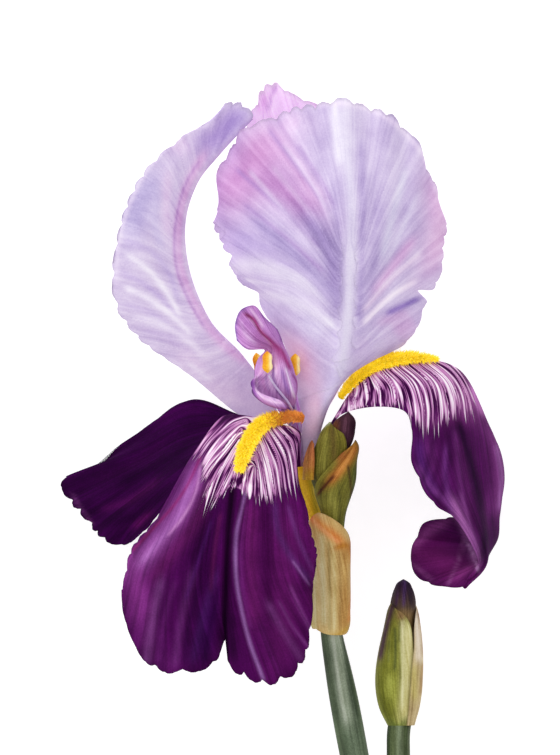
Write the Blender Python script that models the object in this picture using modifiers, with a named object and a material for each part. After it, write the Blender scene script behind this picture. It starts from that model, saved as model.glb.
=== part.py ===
"""A cut flowering stem of bearded iris, lying on a table with the face of its flower up.

The flower has three upright standards, three hanging falls with a beard on each, three style arms and three stamens, all
seated on the perianth tube. Below it come the ovary, two papery spathe valves, a second bud, and a side branch with a bud.

Lengths are millimetres in the flower frame: X across the flower, Y along the stem towards the flower, Z up from the table,
with Z = 0 level with the middle of the throat. An azimuth turns about the flower's Y axis, from +Z (0) towards +X (90).
REST_OFFSET carries the flower frame to the resting place, centred over the origin with the table at Z = 0.
"""

import math

import bmesh
import bpy
import numpy as np
from mathutils import Vector
from mathutils.geometry import delaunay_2d_cdt

MM = 0.001
TABLE = -32.0
REST_OFFSET = (9.0, 34.6, 32.0)
GAP = 0.3

# The whorls at the top of the perianth tube: radius of each ring of bases, and the azimuth of each piece.
THROAT = np.array((-4.2, -9.0, 0.0))
STYLE_RING, FILAMENT_RING, STANDARD_RING, FALL_RING, FUNNEL_RADIUS = 0.85, 1.95, 3.2, 4.35, 4.8
FRONT, RIGHT, LEFT = -38.0, 95.0, -155.0
FALL_HALF_ANGLE, STANDARD_HALF_ANGLE = 30.0, 22.0

PETAL_THICKNESS = 0.7
STYLE_THICKNESS = 0.8
BRACT_THICKNESS = 0.6
STEM_RADIUS, BRANCH_RADIUS = 3.5, 3.0
BEARD_CORE, BEARD_HAIR = 1.35, 0.9

COLOURS = {
    "standard": (0.62, 0.5, 0.78),
    "fall": (0.1, 0.012, 0.13),
    "beard": (0.9, 0.62, 0.02),
    "style": (0.42, 0.18, 0.5),
    "filament": (0.8, 0.72, 0.85),
    "anther": (0.9, 0.5, 0.03),
    "tube": (0.4, 0.36, 0.05),
    "stem": (0.12, 0.18, 0.09),
    "spathe": (0.62, 0.5, 0.22),
    "papery": (0.55, 0.24, 0.06),
    "bract": (0.22, 0.27, 0.04),
    "bud_petal": (0.05, 0.012, 0.09),
}


def through(knots, points, at):
    """A smooth curve that passes points at knots, read at the values in at. With one set of points for each value in at,
    every value reads its own curve."""
    knots, points, at = (np.asarray(a, float) for a in (knots, points, at))
    if points.ndim == 2:
        points = np.repeat(points[:, None, :], len(at), axis=1)
    gaps = np.diff(knots)[:, None, None]
    slopes = np.diff(points, axis=0) / gaps
    inner = (slopes[:-1] * gaps[1:] + slopes[1:] * gaps[:-1]) / (gaps[:-1] + gaps[1:])
    tangents = np.concatenate([slopes[:1], inner, slopes[-1:]])
    k = np.clip(np.searchsorted(knots, at, side="right") - 1, 0, len(knots) - 2)
    i = np.arange(len(at))
    gap = (knots[k + 1] - knots[k])[:, None]
    u = (at - knots[k])[:, None] / gap
    return (
        points[k, i] * (1 + 2 * u) * (1 - u) ** 2
        + tangents[k, i] * gap * u * (1 - u) ** 2
        + points[k + 1, i] * u**2 * (3 - 2 * u)
        + tangents[k + 1, i] * gap * u**2 * (u - 1)
    )


def path(points):
    """A smooth centre line through points, as a function of 0 to 1 along its length."""
    points = np.array(points, float)
    lengths = np.concatenate([[0], np.cumsum(np.linalg.norm(np.diff(points, axis=0), axis=1))])
    return lambda along: through(lengths / lengths[-1], points, np.atleast_1d(along))


def profile(*pairs):
    """A value that changes smoothly along a piece, from (place, value) pairs, as a function of 0 to 1."""
    places, values = zip(*pairs)
    return lambda along: through(places, np.array(values)[:, None], np.atleast_1d(along))[:, 0]


def around(centre, radius, azimuth, flat=1.0):
    """Points at radius and azimuth, in degrees, about a centre line that runs along Y. flat squeezes the depth."""
    turn = np.radians(azimuth)
    return centre + np.stack([radius * np.sin(turn), 0 * turn, flat * radius * np.cos(turn)], axis=-1)


def smooth(low, high, value):
    u = np.clip((value - low) / (high - low), 0, 1)
    return u * u * (3 - 2 * u)


def ring_rib(azimuth, half_angle, radius, height):
    """A rib that lies round the flower's axis, at a height along Y."""
    centre = np.array((THROAT[0], height, THROAT[2]))
    turns = azimuth + half_angle * np.linspace(-1, 1, 5)
    points = around(centre, radius, turns)
    return list(points[:2]), points[2], list(points[3:])


class Blade:
    """A petal's middle surface, lofted through ribs from its base to its margin.

    Each rib is (points from one edge, the midrib's point, points to the other edge). along runs from 0 at the base to 1
    at the margin, and across from -1 at one edge through 0 on the midrib to 1 at the other edge.
    """

    def __init__(self, ribs):
        self.ribs = [self.knotted(*rib) for rib in ribs]
        samples = np.linspace(-1, 1, 9)
        rows = [through(knots, points, samples) for knots, points in self.ribs]
        steps = [np.linalg.norm(b - a, axis=1).mean() for a, b in zip(rows, rows[1:])]
        self.stations = np.concatenate([[0], np.cumsum(steps)]) / sum(steps)

    @staticmethod
    def knotted(first, middle, second):
        points = np.array([*first, middle, *second], float)
        lengths = np.concatenate([[0], np.cumsum(np.linalg.norm(np.diff(points, axis=0), axis=1))])
        centre = lengths[len(first)]
        before, after = lengths / centre - 1, (lengths - centre) / (lengths[-1] - centre)
        return np.where(lengths < centre, before, after), points

    def point(self, along, across):
        rows = np.stack([through(knots, points, across) for knots, points in self.ribs])
        return through(self.stations, rows, along)

    def normal(self, along, across):
        step = 0.01
        up = self.point(np.minimum(along + step, 1), across) - self.point(np.maximum(along - step, 0), across)
        over = self.point(along, np.minimum(across + step, 1)) - self.point(along, np.maximum(across - step, -1))
        normals = np.cross(over, up)
        return normals / np.linalg.norm(normals, axis=1)[:, None]


def notch(turns):
    """0 on the crown of each lobe of a scalloped edge, 1 in the cleft between two lobes."""
    return 1 - np.abs(np.sin(np.pi * turns)) ** 0.7


def waved(blade, claw, lobes, side_lobes, cut, ruffles, height, phase):
    """The blade's surface with a scalloped and ruffled edge beyond the claw, which is the share of it near the base."""

    def surface(along, across):
        open_part = smooth(claw, claw + 0.2, along)
        wander = 0.06 * np.sin(5 * across + phase) + 0.03 * np.sin(13 * across + 3 * phase)
        trimmed = along * (1 - cut * notch(lobes * (across + wander) + phase) * along**8)
        side = 1 - 0.7 * cut * notch(side_lobes * along + phase) * np.abs(across) ** 8 * open_part
        points = blade.point(trimmed, across * side)
        tip_wave = along**5 * np.sin(ruffles * np.pi * across + phase)
        side_wave = np.abs(across) ** 5 * np.sin(ruffles * 1.3 * np.pi * along + 2 * phase)
        lift = height * open_part * (tip_wave + side_wave) * 0.7
        return points + blade.normal(trimmed, across * side) * lift[:, None]

    return surface


def sheath(axis, radius, azimuth, half_angle, tip=0.0, flat=1.0):
    """A bract's surface, wrapped round a centre line, with radius, azimuth and half_angle as functions of the place on it.
    tip is the share of the length by which the edges stay behind the pointed end."""

    def surface(along, across):
        spot = along * (1 - tip * np.abs(across) ** 1.6)
        turns = azimuth(spot) + half_angle(spot) * across
        return around(axis(spot), radius(spot), turns, flat)

    return surface


def make_material(name):
    material = bpy.data.materials.new(name)
    material.use_nodes = True
    shader = material.node_tree.nodes["Principled BSDF"]
    shader.inputs["Base Color"].default_value = (*COLOURS[name], 1)
    shader.inputs["Roughness"].default_value = 0.55
    shader.inputs["Metallic"].default_value = 0.0
    return material


def add_piece(obj, material):
    """Adds a piece to the iris, moved from the flower frame to the place where the flower rests."""
    obj.data.materials.clear()
    obj.data.materials.append(bpy.data.materials[material])
    bpy.data.collections["iris"].objects.link(obj)
    obj.location = Vector(REST_OFFSET) * MM
    return obj


def shade(obj):
    obj.data.shade_smooth()
    obj.data.set_sharp_from_angle(angle=math.radians(50))


def sheet(name, surface, rows, columns, thickness, material):
    """A thin piece of even thickness round a surface. columns is the number of cells at the base and at the margin."""
    spots = []
    for row in range(rows + 1):
        along = (row / rows) ** 0.75
        cells = round(columns[0] + (columns[1] - columns[0]) * along**2.2)
        spots += [Vector((across, along)) for across in np.linspace(-1, 1, cells + 1)]
    spots, _, faces = delaunay_2d_cdt(spots, [], [], 0, 1e-6)[:3]
    spots = np.array([tuple(spot) for spot in spots])
    points = surface(np.clip(spots[:, 1], 0, 1), np.clip(spots[:, 0], -1, 1))
    points[:, 2] = np.maximum(points[:, 2], TABLE + thickness / 2)
    mesh = bpy.data.meshes.new(name)
    mesh.from_pydata(points * MM, [], faces)
    obj = add_piece(bpy.data.objects.new(name, mesh), material)
    shade(obj)
    solidify = obj.modifiers.new("thickness", "SOLIDIFY")
    solidify.thickness = thickness * MM
    solidify.offset = 0
    return obj


def tube_curve(name, centre_line, radius, points, bevel_resolution=2):
    """A curve object along a centre line, with its radius as a function of the place on it."""
    curve = bpy.data.curves.new(name, "CURVE")
    curve.dimensions = "3D"
    curve.bevel_depth = MM
    curve.bevel_resolution = bevel_resolution
    curve.use_fill_caps = True
    places = np.linspace(0, 1, points)
    line = curve.splines.new("POLY")
    line.points.add(points - 1)
    for knot, spot, size in zip(line.points, centre_line(places) * MM, radius(places)):
        knot.co = (*spot, 1)
        knot.radius = size
    return bpy.data.objects.new(name, curve)


def as_mesh(curve):
    """The curve's mesh as a new object with its caps welded on. The curve is removed."""
    bpy.context.scene.collection.objects.link(curve)
    bpy.context.view_layer.update()
    graph = bpy.context.evaluated_depsgraph_get()
    mesh = bpy.data.meshes.new_from_object(curve.evaluated_get(graph))
    sides = bmesh.new()
    sides.from_mesh(mesh)
    bmesh.ops.remove_doubles(sides, verts=sides.verts, dist=1e-6)
    bmesh.ops.recalc_face_normals(sides, faces=sides.faces)
    sides.to_mesh(mesh)
    sides.free()
    name = curve.name
    bpy.data.objects.remove(curve)
    return bpy.data.objects.new(name, mesh)


def spindle(name, centre_line, radius, twist, lobes, lobe_height, material, segments=14, rings=14, flat=1.0):
    """A closed spindle round a centre line, such as furled petals, with lobes that wind round it."""
    ball = bmesh.new()
    bmesh.ops.create_uvsphere(ball, u_segments=segments, v_segments=rings, radius=1)
    for vertex in ball.verts:
        turn = math.degrees(math.atan2(vertex.co.x, vertex.co.y))
        along = 1 - math.acos(max(-1.0, min(1.0, vertex.co.z))) / math.pi
        swell = 1 + lobe_height * math.sin(math.radians(lobes * turn + twist * along))
        centre, size = centre_line(along)[0], radius(along)[0]
        vertex.co = Vector(around(centre, size * swell, np.array(turn), flat) * MM)
    bmesh.ops.reverse_faces(ball, faces=ball.faces)
    mesh = bpy.data.meshes.new(name)
    ball.to_mesh(mesh)
    ball.free()
    obj = add_piece(bpy.data.objects.new(name, mesh), material)
    shade(obj)
    return obj


# Ribs of the six petals, each from one edge over the midrib to the other edge.
FALL_FRONT = (
    ring_rib(FRONT, FALL_HALF_ANGLE, FALL_RING, -9.0),
    ring_rib(FRONT, FALL_HALF_ANGLE, 6.4, -3.5),
    ([(-16.0, 1.6, 4.2), (-12.4, 1.8, 6.4)], (-8.4, 1.0, 8.8), [(-6.2, 0.8, 9.6), (-4.6, -0.6, 9.8)]),
    ([(-23.5, 4.2, 6.5), (-20.0, 3.6, 11.0)], (-14.0, 1.2, 14.6), [(-10.0, -0.4, 15.4), (-5.6, -5.0, 14.0)]),
    ([(-31.0, -4.5, 9.5), (-25.5, -3.0, 16.0)], (-18.4, -4.6, 19.9), [(-12.2, -7.2, 19.5), (-5.4, -11.5, 17.0)]),
    ([(-38.5, -17.5, 12.0), (-34.0, -19.0, 18.0), (-26.0, -19.5, 19.5)], (-20.6, -19.0, 23.6),
     [(-12.0, -20.0, 23.2), (-3.2, -19.5, 20.0)]),
    ([(-46.2, -28.4, 12.5), (-41.0, -35.0, 18.0), (-32.0, -37.0, 21.5), (-24.6, -36.5, 18.9)], (-21.6, -36.0, 24.6),
     [(-12.0, -37.0, 24.4), (-1.2, -29.0, 20.0)]),
    ([(-49.8, -39.5, 13.5), (-47.6, -51.0, 15.5), (-41.8, -58.6, 18.5), (-32.0, -59.6, 20.5), (-25.6, -57.4, 18.5),
      (-23.5, -51.8, 16.0), (-21.6, -59.0, 20.5)], (-15.0, -62.4, 21.5),
     [(-8.3, -61.2, 21.5), (-3.3, -54.8, 20.5), (-2.1, -44.0, 20.0), (-0.9, -33.0, 20.0)]),
)
FALL_RIGHT = (
    ring_rib(RIGHT, FALL_HALF_ANGLE, FALL_RING, -9.0),
    ([(0.6, -3.0, 4.0)], (2.4, -0.8, -0.4), [(0.9, -3.0, -4.6)]),
    ([(4.2, 3.6, 6.6)], (6.8, 8.4, -0.6), [(4.8, 4.0, -8.0)]),
    ([(11.0, 6.0, 10.0), (12.0, 10.8, 6.0)], (13.3, 15.2, -0.6), [(12.6, 12.0, -7.0), (11.6, 7.0, -13.0)]),
    ([(20.5, 5.5, 13.5), (22.2, 12.6, 7.5)], (23.8, 18.0, -0.8), [(23.4, 14.5, -9.5), (22.4, 8.0, -17.5)]),
    ([(22.9, 0.5, 15.5), (28.0, 9.0, 10.5)], (34.5, 15.4, -1.5), [(36.6, 11.0, -11.5), (35.2, 4.0, -21.5)]),
    ([(23.0, -8.0, 16.0), (30.0, -4.5, 10.0)], (38.2, 2.5, -3.0), [(42.2, 1.6, -14.0), (43.2, -1.0, -26.0)]),
    ([(28.0, -17.8, 14.5), (34.0, -15.5, 8.0)], (40.0, -12.0, -4.5), [(45.3, -11.0, -15.5), (46.2, -11.0, -29.5)]),
    ([(34.4, -22.6, 11.0), (38.2, -24.0, 5.0)], (42.0, -22.5, -5.5), [(44.8, -21.5, -16.0), (45.2, -19.0, -31.5)]),
    ([(38.4, -29.0, 8.0), (40.9, -30.8, 3.5)], (42.4, -31.0, -3.5), [(43.4, -28.6, -13.0), (43.8, -24.0, -33.0)]),
    ([(40.4, -34.2, 3.0), (37.2, -37.0, 2.0)], (32.2, -38.9, -1.0),
     [(26.0, -37.8, -4.0), (23.4, -33.4, -7.0), (22.8, -28.5, -10.0), (25.6, -23.6, -14.0), (31.0, -22.0, -18.5),
      (38.6, -22.6, -29.0)]),
)
FALL_LEFT = (
    ring_rib(LEFT, FALL_HALF_ANGLE, FALL_RING, -9.0),
    ([(-10.0, -5.5, -4.4)], (-8.4, -4.6, -8.0), [(-4.6, -4.6, -9.8)]),
    ([(-16.0, -6.5, -5.8)], (-14.4, -1.2, -12.4), [(-10.4, 0.5, -17.6)]),
    ([(-25.0, -9.0, -8.6), (-24.8, -4.0, -12.6)], (-23.5, -0.6, -17.4), [(-21.2, 4.6, -24.6)]),
    ([(-35.5, -16.0, -11.6), (-35.5, -10.0, -15.0)], (-34.5, -4.0, -20.6), [(-31.4, 8.0, -28.6)]),
    ([(-43.5, -24.0, -14.0), (-45.0, -17.5, -18.5)], (-46.0, -10.5, -24.0), [(-45.8, -5.0, -27.6), (-43.4, 1.8, -31.0)]),
    ([(-46.5, -27.8, -15.5), (-50.8, -28.6, -18.0), (-55.8, -25.8, -20.5), (-58.4, -22.6, -23.0)], (-61.6, -19.0, -26.0),
     [(-64.4, -15.6, -29.0), (-64.6, -12.4, -31.6), (-60.6, -10.8, -33.0), (-52.6, -6.8, -33.2)]),
)
STANDARD_RIGHT = (
    ring_rib(30.0, STANDARD_HALF_ANGLE, STANDARD_RING, -9.0),
    ([(-4.4, -2.0, 4.3), (-3.5, -2.0, 4.6)], (-2.5, -2.0, 4.6), [(-1.4, -2.0, 4.2), (-0.4, -2.0, 3.2)]),
    ([(-4.8, 5.0, 3.4), (-3.0, 4.6, 5.2)], (-0.6, 4.0, 5.8), [(1.2, 5.0, 5.2), (2.2, 6.6, 3.8)]),
    ([(-6.6, 12.0, 3.0)], (2.2, 10.0, 7.6), [(6.6, 13.4, 4.8)]),
    ([(-9.6, 23.5, 1.6), (-3.2, 22.0, 8.2)], (4.6, 20.0, 11.0), [(12.0, 21.0, 8.6), (20.6, 22.2, 4.0)]),
    ([(-17.4, 34.5, -1.0), (-7.5, 36.0, 8.6)], (5.8, 36.0, 14.5), [(16.5, 35.5, 10.6), (27.0, 32.0, 3.6)]),
    ([(-25.0, 47.0, -4.5), (-12.5, 51.0, 8.0)], (7.0, 54.0, 16.5), [(19.5, 51.0, 11.2), (31.4, 46.0, 0.6)]),
    ([(-26.4, 56.0, -5.6), (-25.0, 66.5, -5.0), (-19.0, 75.6, -2.5), (-9.0, 79.8, 2.0), (-1.5, 82.0, 5.0)],
     (5.0, 83.0, 6.0),
     [(12.6, 81.2, 5.0), (20.6, 77.0, 2.8), (26.6, 67.8, 0.4), (30.4, 56.5, -0.6)]),
)
STANDARD_LEFT = (
    ring_rib(-94.0, STANDARD_HALF_ANGLE, STANDARD_RING, -9.0),
    ([(-9.4, -2.6, 0.6)], (-8.8, -1.8, -0.8), [(-9.4, -2.6, -2.4)]),
    ([(-20.0, 4.0, 1.4)], (-12.4, 8.6, -0.4), [(-17.6, 4.0, -6.0)]),
    ([(-31.5, 13.4, 4.6)], (-19.4, 18.8, 1.2), [(-27.0, 15.0, -9.0)]),
    ([(-46.4, 24.6, 9.0), (-37.4, 27.0, 7.6)], (-28.0, 28.2, 2.6), [(-32.0, 28.0, -6.0), (-39.0, 26.0, -13.0)]),
    ([(-51.6, 34.5, 12.0), (-42.6, 38.6, 10.0)], (-32.8, 39.8, 3.0), [(-36.6, 39.5, -7.0), (-45.0, 38.0, -15.0)]),
    ([(-50.3, 50.0, 12.5), (-42.4, 52.0, 10.4)], (-34.0, 52.0, 3.0), [(-37.4, 51.5, -7.0), (-45.4, 50.0, -14.0)]),
    ([(-45.0, 63.4, 10.0), (-39.0, 62.5, 8.0)], (-31.3, 61.7, 1.0), [(-33.6, 62.0, -5.6), (-40.0, 62.5, -10.0)]),
    ([(-33.8, 74.2, 4.0), (-30.4, 72.6, 2.0)], (-24.9, 70.3, -2.6), [(-26.6, 71.6, -4.6), (-30.6, 73.2, -6.8)]),
    ([(-25.3, 78.6, -0.4), (-23.3, 82.3, -1.4), (-19.6, 82.2, -2.8)], (-16.9, 79.2, -4.6),
     [(-18.4, 76.8, -5.4), (-21.5, 75.6, -6.0)]),
)
STANDARD_BACK = (
    ring_rib(150.0, STANDARD_HALF_ANGLE, STANDARD_RING, -9.0),
    ring_rib(150.0, STANDARD_HALF_ANGLE, 5.6, 2.0),
    ring_rib(150.0, 27.0, 12.0, 15.0),
    ([(-14.0, 33.0, -15.0)], (0.0, 33.0, -25.0), [(14.0, 31.0, -15.0)]),
    ([(-20.0, 51.0, -12.5), (-11.0, 53.0, -26.5)], (-1.0, 54.0, -34.2), [(10.0, 53.0, -26.5), (20.0, 50.0, -12.5)]),
    ([(-20.6, 62.0, -9.5), (-18.8, 73.0, -8.5), (-16.9, 80.6, -7.0), (-14.6, 85.4, -6.5)], (-11.0, 87.4, -7.5),
     [(-6.4, 84.6, -9.5), (4.0, 79.6, -11.5), (14.5, 74.0, -11.0), (20.0, 63.0, -10.0)]),
)

# The front style arm: a cup over the front beard, with a lip in front, a narrow waist and a crest that spreads above it.
STYLE_FRONT = (
    ring_rib(FRONT, 38.0, STYLE_RING, -9.0),
    ([(-7.0, 0.0, 1.0)], (-6.3, 0.0, 1.9), [(-5.6, 0.0, 2.5)]),
    ([(-9.8, 5.8, 5.6)], (-8.2, 5.7, 6.4), [(-6.3, 5.7, 6.2)]),
    ([(-8.2, 6.2, 14.6), (-11.6, 6.5, 15.4), (-15.0, 8.0, 12.4), (-13.2, 8.2, 8.6)], (-9.0, 8.0, 9.0), [(-5.9, 8.2, 8.2)]),
    ([(-9.8, 7.9, 16.0), (-13.6, 8.3, 15.8), (-16.8, 10.0, 12.8), (-14.6, 10.2, 10.0)], (-9.2, 10.0, 11.6), [(-5.7, 9.8, 9.0)]),
    ([(-15.4, 9.8, 15.0), (-17.0, 12.4, 12.6), (-15.0, 12.8, 11.8)], (-9.2, 12.6, 13.4), [(-5.7, 12.4, 9.6)]),
    ([(-16.4, 14.6, 12.4), (-14.6, 15.0, 13.2)], (-9.4, 15.0, 14.2), [(-6.3, 14.6, 10.6)]),
    ([(-15.6, 18.0, 12.4), (-14.5, 18.0, 13.4), (-12.9, 17.8, 12.4)], (-9.8, 17.8, 14.4), [(-7.0, 17.0, 11.8)]),
    ([(-13.8, 20.4, 13.6), (-12.2, 21.0, 13.6)], (-10.4, 21.2, 14.6), [(-8.6, 20.4, 12.6)]),
    ([(-18.0, 20.6, 16.2), (-16.4, 23.4, 16.4)], (-13.4, 25.0, 15.6), [(-9.8, 23.6, 12.4)]),
    ([(-20.8, 22.8, 15.2), (-21.2, 27.0, 14.4), (-19.6, 30.6, 13.4)], (-17.0, 31.6, 12.8),
     [(-13.8, 28.6, 12.2), (-10.6, 25.6, 11.8)]),
)
STYLE_PATHS = {
    "style_right": (RIGHT, ((1.6, -3.0), (3.4, 4.0), (6.6, 13.0), (11.6, 20.4), (17.0, 24.4), (19.4, 29.0))),
    "style_left": (LEFT, ((1.6, -3.0), (3.6, 1.0), (7.6, 6.6), (12.4, 10.6), (16.4, 12.6), (18.4, 17.0))),
}
STYLE_HALF_WIDTHS = (1.1, 1.7, 3.4, 4.6, 4.2, 4.0)
STYLE_ARCH = 0.35

# Each stamen: the azimuth of its foot, the way of its filament, and the two ends of its anther.
STAMENS = {
    "front": (
        -48.0,
        [(-6.7, -3.5, 2.9), (-7.6, 0.0, 4.1), (-7.3, 3.2, 7.0), (-6.9, 5.2, 10.2), (-8.0, 7.4, 12.6), (-9.8, 9.7, 14.0),
         (-11.6, 12.0, 14.9), (-12.8, 14.2, 15.1)],
        ((-13.1, 14.7, 15.1), (-13.2, 20.2, 15.2)),
    ),
    "right": (
        -5.0,
        [(-4.4, -3.5, 2.4), (-4.7, 0.0, 2.9), (-5.8, 4.0, 3.4), (-6.5, 8.5, 5.2), (-6.2, 13.4, 7.0)],
        ((-6.2, 13.9, 7.1), (-6.2, 19.6, 8.0)),
    ),
    "left": (
        -140.0,
        [(-6.4, -3.0, -3.4), (-10.5, 3.2, -5.0), (-12.9, 8.4, -4.5), (-14.6, 13.2, -3.6)],
        ((-14.8, 13.7, -3.5), (-16.0, 19.8, -2.4)),
    ),
}
# Each beard's fall, the places along the fall where it starts and ends, its place across the fall, the side of the fall
# it stands on, and its size beside the front beard.
BEARDS = {
    "beard_front": ("fall_front", 0.19, 0.46, 0.0, -1, 1.0),
    "beard_right": ("fall_right", 0.16, 0.42, -0.14, -1, 0.88),
    "beard_left": ("fall_left", 0.12, 0.25, 0.0, 1, 0.9),
}

STEM_SIZE = profile((0, 2.95), (0.4, 3.3), (0.6, STEM_RADIUS), (0.85, STEM_RADIUS), (1, 2.6))
TUBE_LINE = (
    (2.7, -47.7, -4.5), (2.6, -38.0, -4.3), (1.0, -27.5, -3.0), (-1.6, -20.0, -1.4), (-3.9, -14.5, -0.2), (-4.2, -9.55, 0.0),
)
STEM_LINE = (
    (21.0, -156.0, -29.05), (19.0, -136.0, -24.6), (16.4, -120.0, -20.9), (12.2, -100.0, -15.9), (8.5, -80.7, -11.1),
    (6.5, -70.0, -8.5), (4.6, -60.0, -6.1), (3.1, -52.0, -4.1), (2.6, -48.8, -3.4),
)
BRANCH_LINE = (
    (18.5, -134.0, -24.1), (19.7, -120.0, -20.8), (20.4, -105.0, -17.4), (20.0, -90.0, -14.4), (19.7, -81.0, -12.8),
    (19.9, -74.3, -12.0),
)
SPATHE_LINE = ((2.8, -50.8, -3.7), (2.4, -44.0, -2.6), (2.1, -36.0, -1.7), (2.1, -28.0, 0.1), (2.0, -20.2, 2.0))
STALK_LINE = ((3.9, -48.2, -1.7), (3.8, -38.0, -0.2), (3.5, -27.6, 2.1))
BUD_LINE = (
    (3.5, -27.1, 2.2), (3.2, -20.0, 4.0), (2.7, -12.5, 6.4), (3.0, -7.0, 8.2), (4.2, -2.0, 9.6), (6.6, 4.9, 10.6),
)
BUD_PETAL_LINE = BUD_LINE[:-2] + ((4.9, -2.0, 9.6), (7.1, 5.1, 10.6))
BUD_FLAT = 0.75
SIDE_BUD_LINE = (
    (20.1, -73.7, -12.0), (19.4, -67.0, -11.4), (19.6, -58.0, -10.8), (20.4, -49.0, -10.5), (21.0, -43.0, -10.2),
    (21.0, -37.0, -10.0),
)


def make_petals():
    """The falls and standards. Returns the blade of each, for what sits on it."""
    blades = {
        "fall_front": Blade(FALL_FRONT),
        "fall_right": Blade(FALL_RIGHT),
        "fall_left": Blade(FALL_LEFT),
        "standard_right": Blade(STANDARD_RIGHT),
        "standard_left": Blade(STANDARD_LEFT),
        "standard_back": Blade(STANDARD_BACK),
    }
    edges = {
        "fall_front": dict(claw=0.45, lobes=8, side_lobes=6, cut=0.02, ruffles=5, height=0.9, phase=0.4),
        "fall_right": dict(claw=0.45, lobes=3, side_lobes=9, cut=0.012, ruffles=3, height=0.5, phase=1.3),
        "fall_left": dict(claw=0.5, lobes=5, side_lobes=5, cut=0.02, ruffles=4, height=0.8, phase=2.2),
        "standard_right": dict(claw=0.3, lobes=9, side_lobes=7, cut=0.018, ruffles=7, height=1.1, phase=0.9),
        "standard_left": dict(claw=0.3, lobes=3, side_lobes=12, cut=0.014, ruffles=3, height=0.5, phase=1.7),
        "standard_back": dict(claw=0.4, lobes=7, side_lobes=7, cut=0.02, ruffles=6, height=0.8, phase=0.2),
    }
    for name, blade in blades.items():
        surface = waved(blade, **edges[name])
        sheet(name, surface, 14, (5, 40), PETAL_THICKNESS, name.split("_")[0])
    return blades


def make_beard(name, blade, start, end, across, side, share):
    """A ridge of short hairs along a fall, raised from a rounded core that lies just clear of the fall."""
    core_radius = BEARD_CORE * share
    rise = PETAL_THICKNESS / 2 + GAP + core_radius * 1.1
    places = np.linspace(start, end, 12)
    middle = np.full_like(places, across)
    raised = blade.normal(places, middle) * side
    line = blade.point(places, middle) + raised * rise
    size = profile((0, 0.55), (0.2, 1.0), (0.75, 1.0), (1, 0.45))
    core = as_mesh(tube_curve(name, path(line), lambda along: core_radius * size(along), 18))
    ups = path(raised)
    ways = path(line)
    tufts = bmesh.new()
    tufts.from_mesh(core.data)
    tufts.normal_update()
    spots = ways(np.linspace(0, 1, 60)) * MM
    hairy = []
    for face in tufts.faces:
        nearest = np.linalg.norm(spots - np.array(face.calc_center_median()), axis=1).argmin()
        up = Vector(ups(nearest / 59)[0]).normalized()
        if face.normal.dot(up) > -0.1 and len(face.verts) == 4:
            hairy.append(face)
    poked = bmesh.ops.poke(tufts, faces=hairy, offset=BEARD_HAIR * MM, center_mode="MEAN")
    for apex in poked["verts"]:
        nearest = np.linalg.norm(spots - np.array(apex.co), axis=1).argmin()
        ahead = Vector(ways(min(1, nearest / 59 + 0.02))[0] - ways(max(0, nearest / 59 - 0.02))[0]).normalized()
        apex.co += ahead * 0.5 * MM
    tufts.to_mesh(core.data)
    tufts.free()
    add_piece(core, "beard")


def make_styles():
    """Three petal-like style arms, each arching over a beard and ending in a crest."""
    front = Blade(STYLE_FRONT)
    sheet("style_front", front.point, 20, (14, 16), STYLE_THICKNESS, "style")
    for name, (azimuth, way) in STYLE_PATHS.items():
        turn = math.radians(azimuth)
        out = np.array((math.sin(turn), 0, math.cos(turn)))
        side = np.array((math.cos(turn), 0, -math.sin(turn)))
        ribs = [ring_rib(azimuth, 38.0, STYLE_RING, -9.0)]
        for (reach, height), half in zip(way, STYLE_HALF_WIDTHS):
            middle = np.array((THROAT[0], height, THROAT[2])) + out * reach
            edge = middle - (0, STYLE_ARCH * half, 0)
            ribs.append(([edge - side * half], middle, [edge + side * half]))
        sheet(name, waved(Blade(ribs), 0.6, 2, 2, 0.05, 3, 0.5, 0.5), 12, (4, 10), STYLE_THICKNESS, "style")


def make_stamens():
    """A thin filament under each style arm, with a two-lobed anther at its tip."""
    for name, (azimuth, way, (low, high)) in STAMENS.items():
        foot = around(THROAT, FILAMENT_RING, np.array(azimuth))
        line = path([foot, *way])
        filament = tube_curve(f"filament_{name}", line, lambda along: 0.36 - 0.06 * along, 14, 1)
        add_piece(as_mesh(filament), "filament")
        size = profile((0, 0.0), (0.12, 0.8), (0.5, 1.0), (0.88, 0.75), (1, 0.0))
        spindle(f"anther_{name}", path([low, high]), size, 0, 2, 0.12, "anther", 10, 9)


def make_tube():
    """The perianth tube, with its funnel under the petals, and the ovary inside the spathe."""
    line = path(TUBE_LINE)
    size = profile((0, 1.3), (0.1, 1.7), (0.3, 2.3), (0.5, 2.1), (0.75, 2.1), (0.9, 3.0), (1, FUNNEL_RADIUS))
    add_piece(as_mesh(tube_curve("tube_and_ovary", line, size, 18, 3)), "tube")


def make_stem():
    """The flowering stem, which is one growth with the side branch that leaves it low down."""
    stem = as_mesh(tube_curve("stem", path(STEM_LINE), STEM_SIZE, 18, 2))
    branch = as_mesh(tube_curve("branch", path(BRANCH_LINE), profile((0, 2.5), (0.5, BRANCH_RADIUS), (1, 2.9)), 12, 2))
    add_piece(stem, "stem")
    add_piece(branch, "stem")
    joint = stem.modifiers.new("one growth", "BOOLEAN")
    joint.operation = "UNION"
    joint.solver = "EXACT"
    joint.object = branch
    bpy.context.view_layer.update()
    graph = bpy.context.evaluated_depsgraph_get()
    joined = bpy.data.meshes.new_from_object(stem.evaluated_get(graph))
    stem.modifiers.clear()
    stem.data = joined
    bpy.data.objects.remove(branch)
    shade(stem)


def bract(name, line, radius, azimuth, half_angle, tip, material, rows=11, columns=(8, 7), flat=1.0):
    """A leaf-like sheath. Each of radius, azimuth and half_angle is a list of (place along the sheath, value)."""
    surface = sheath(path(line), profile(*radius), profile(*azimuth), profile(*half_angle), tip, flat)
    sheet(name, surface, rows, columns, BRACT_THICKNESS, material)


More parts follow.
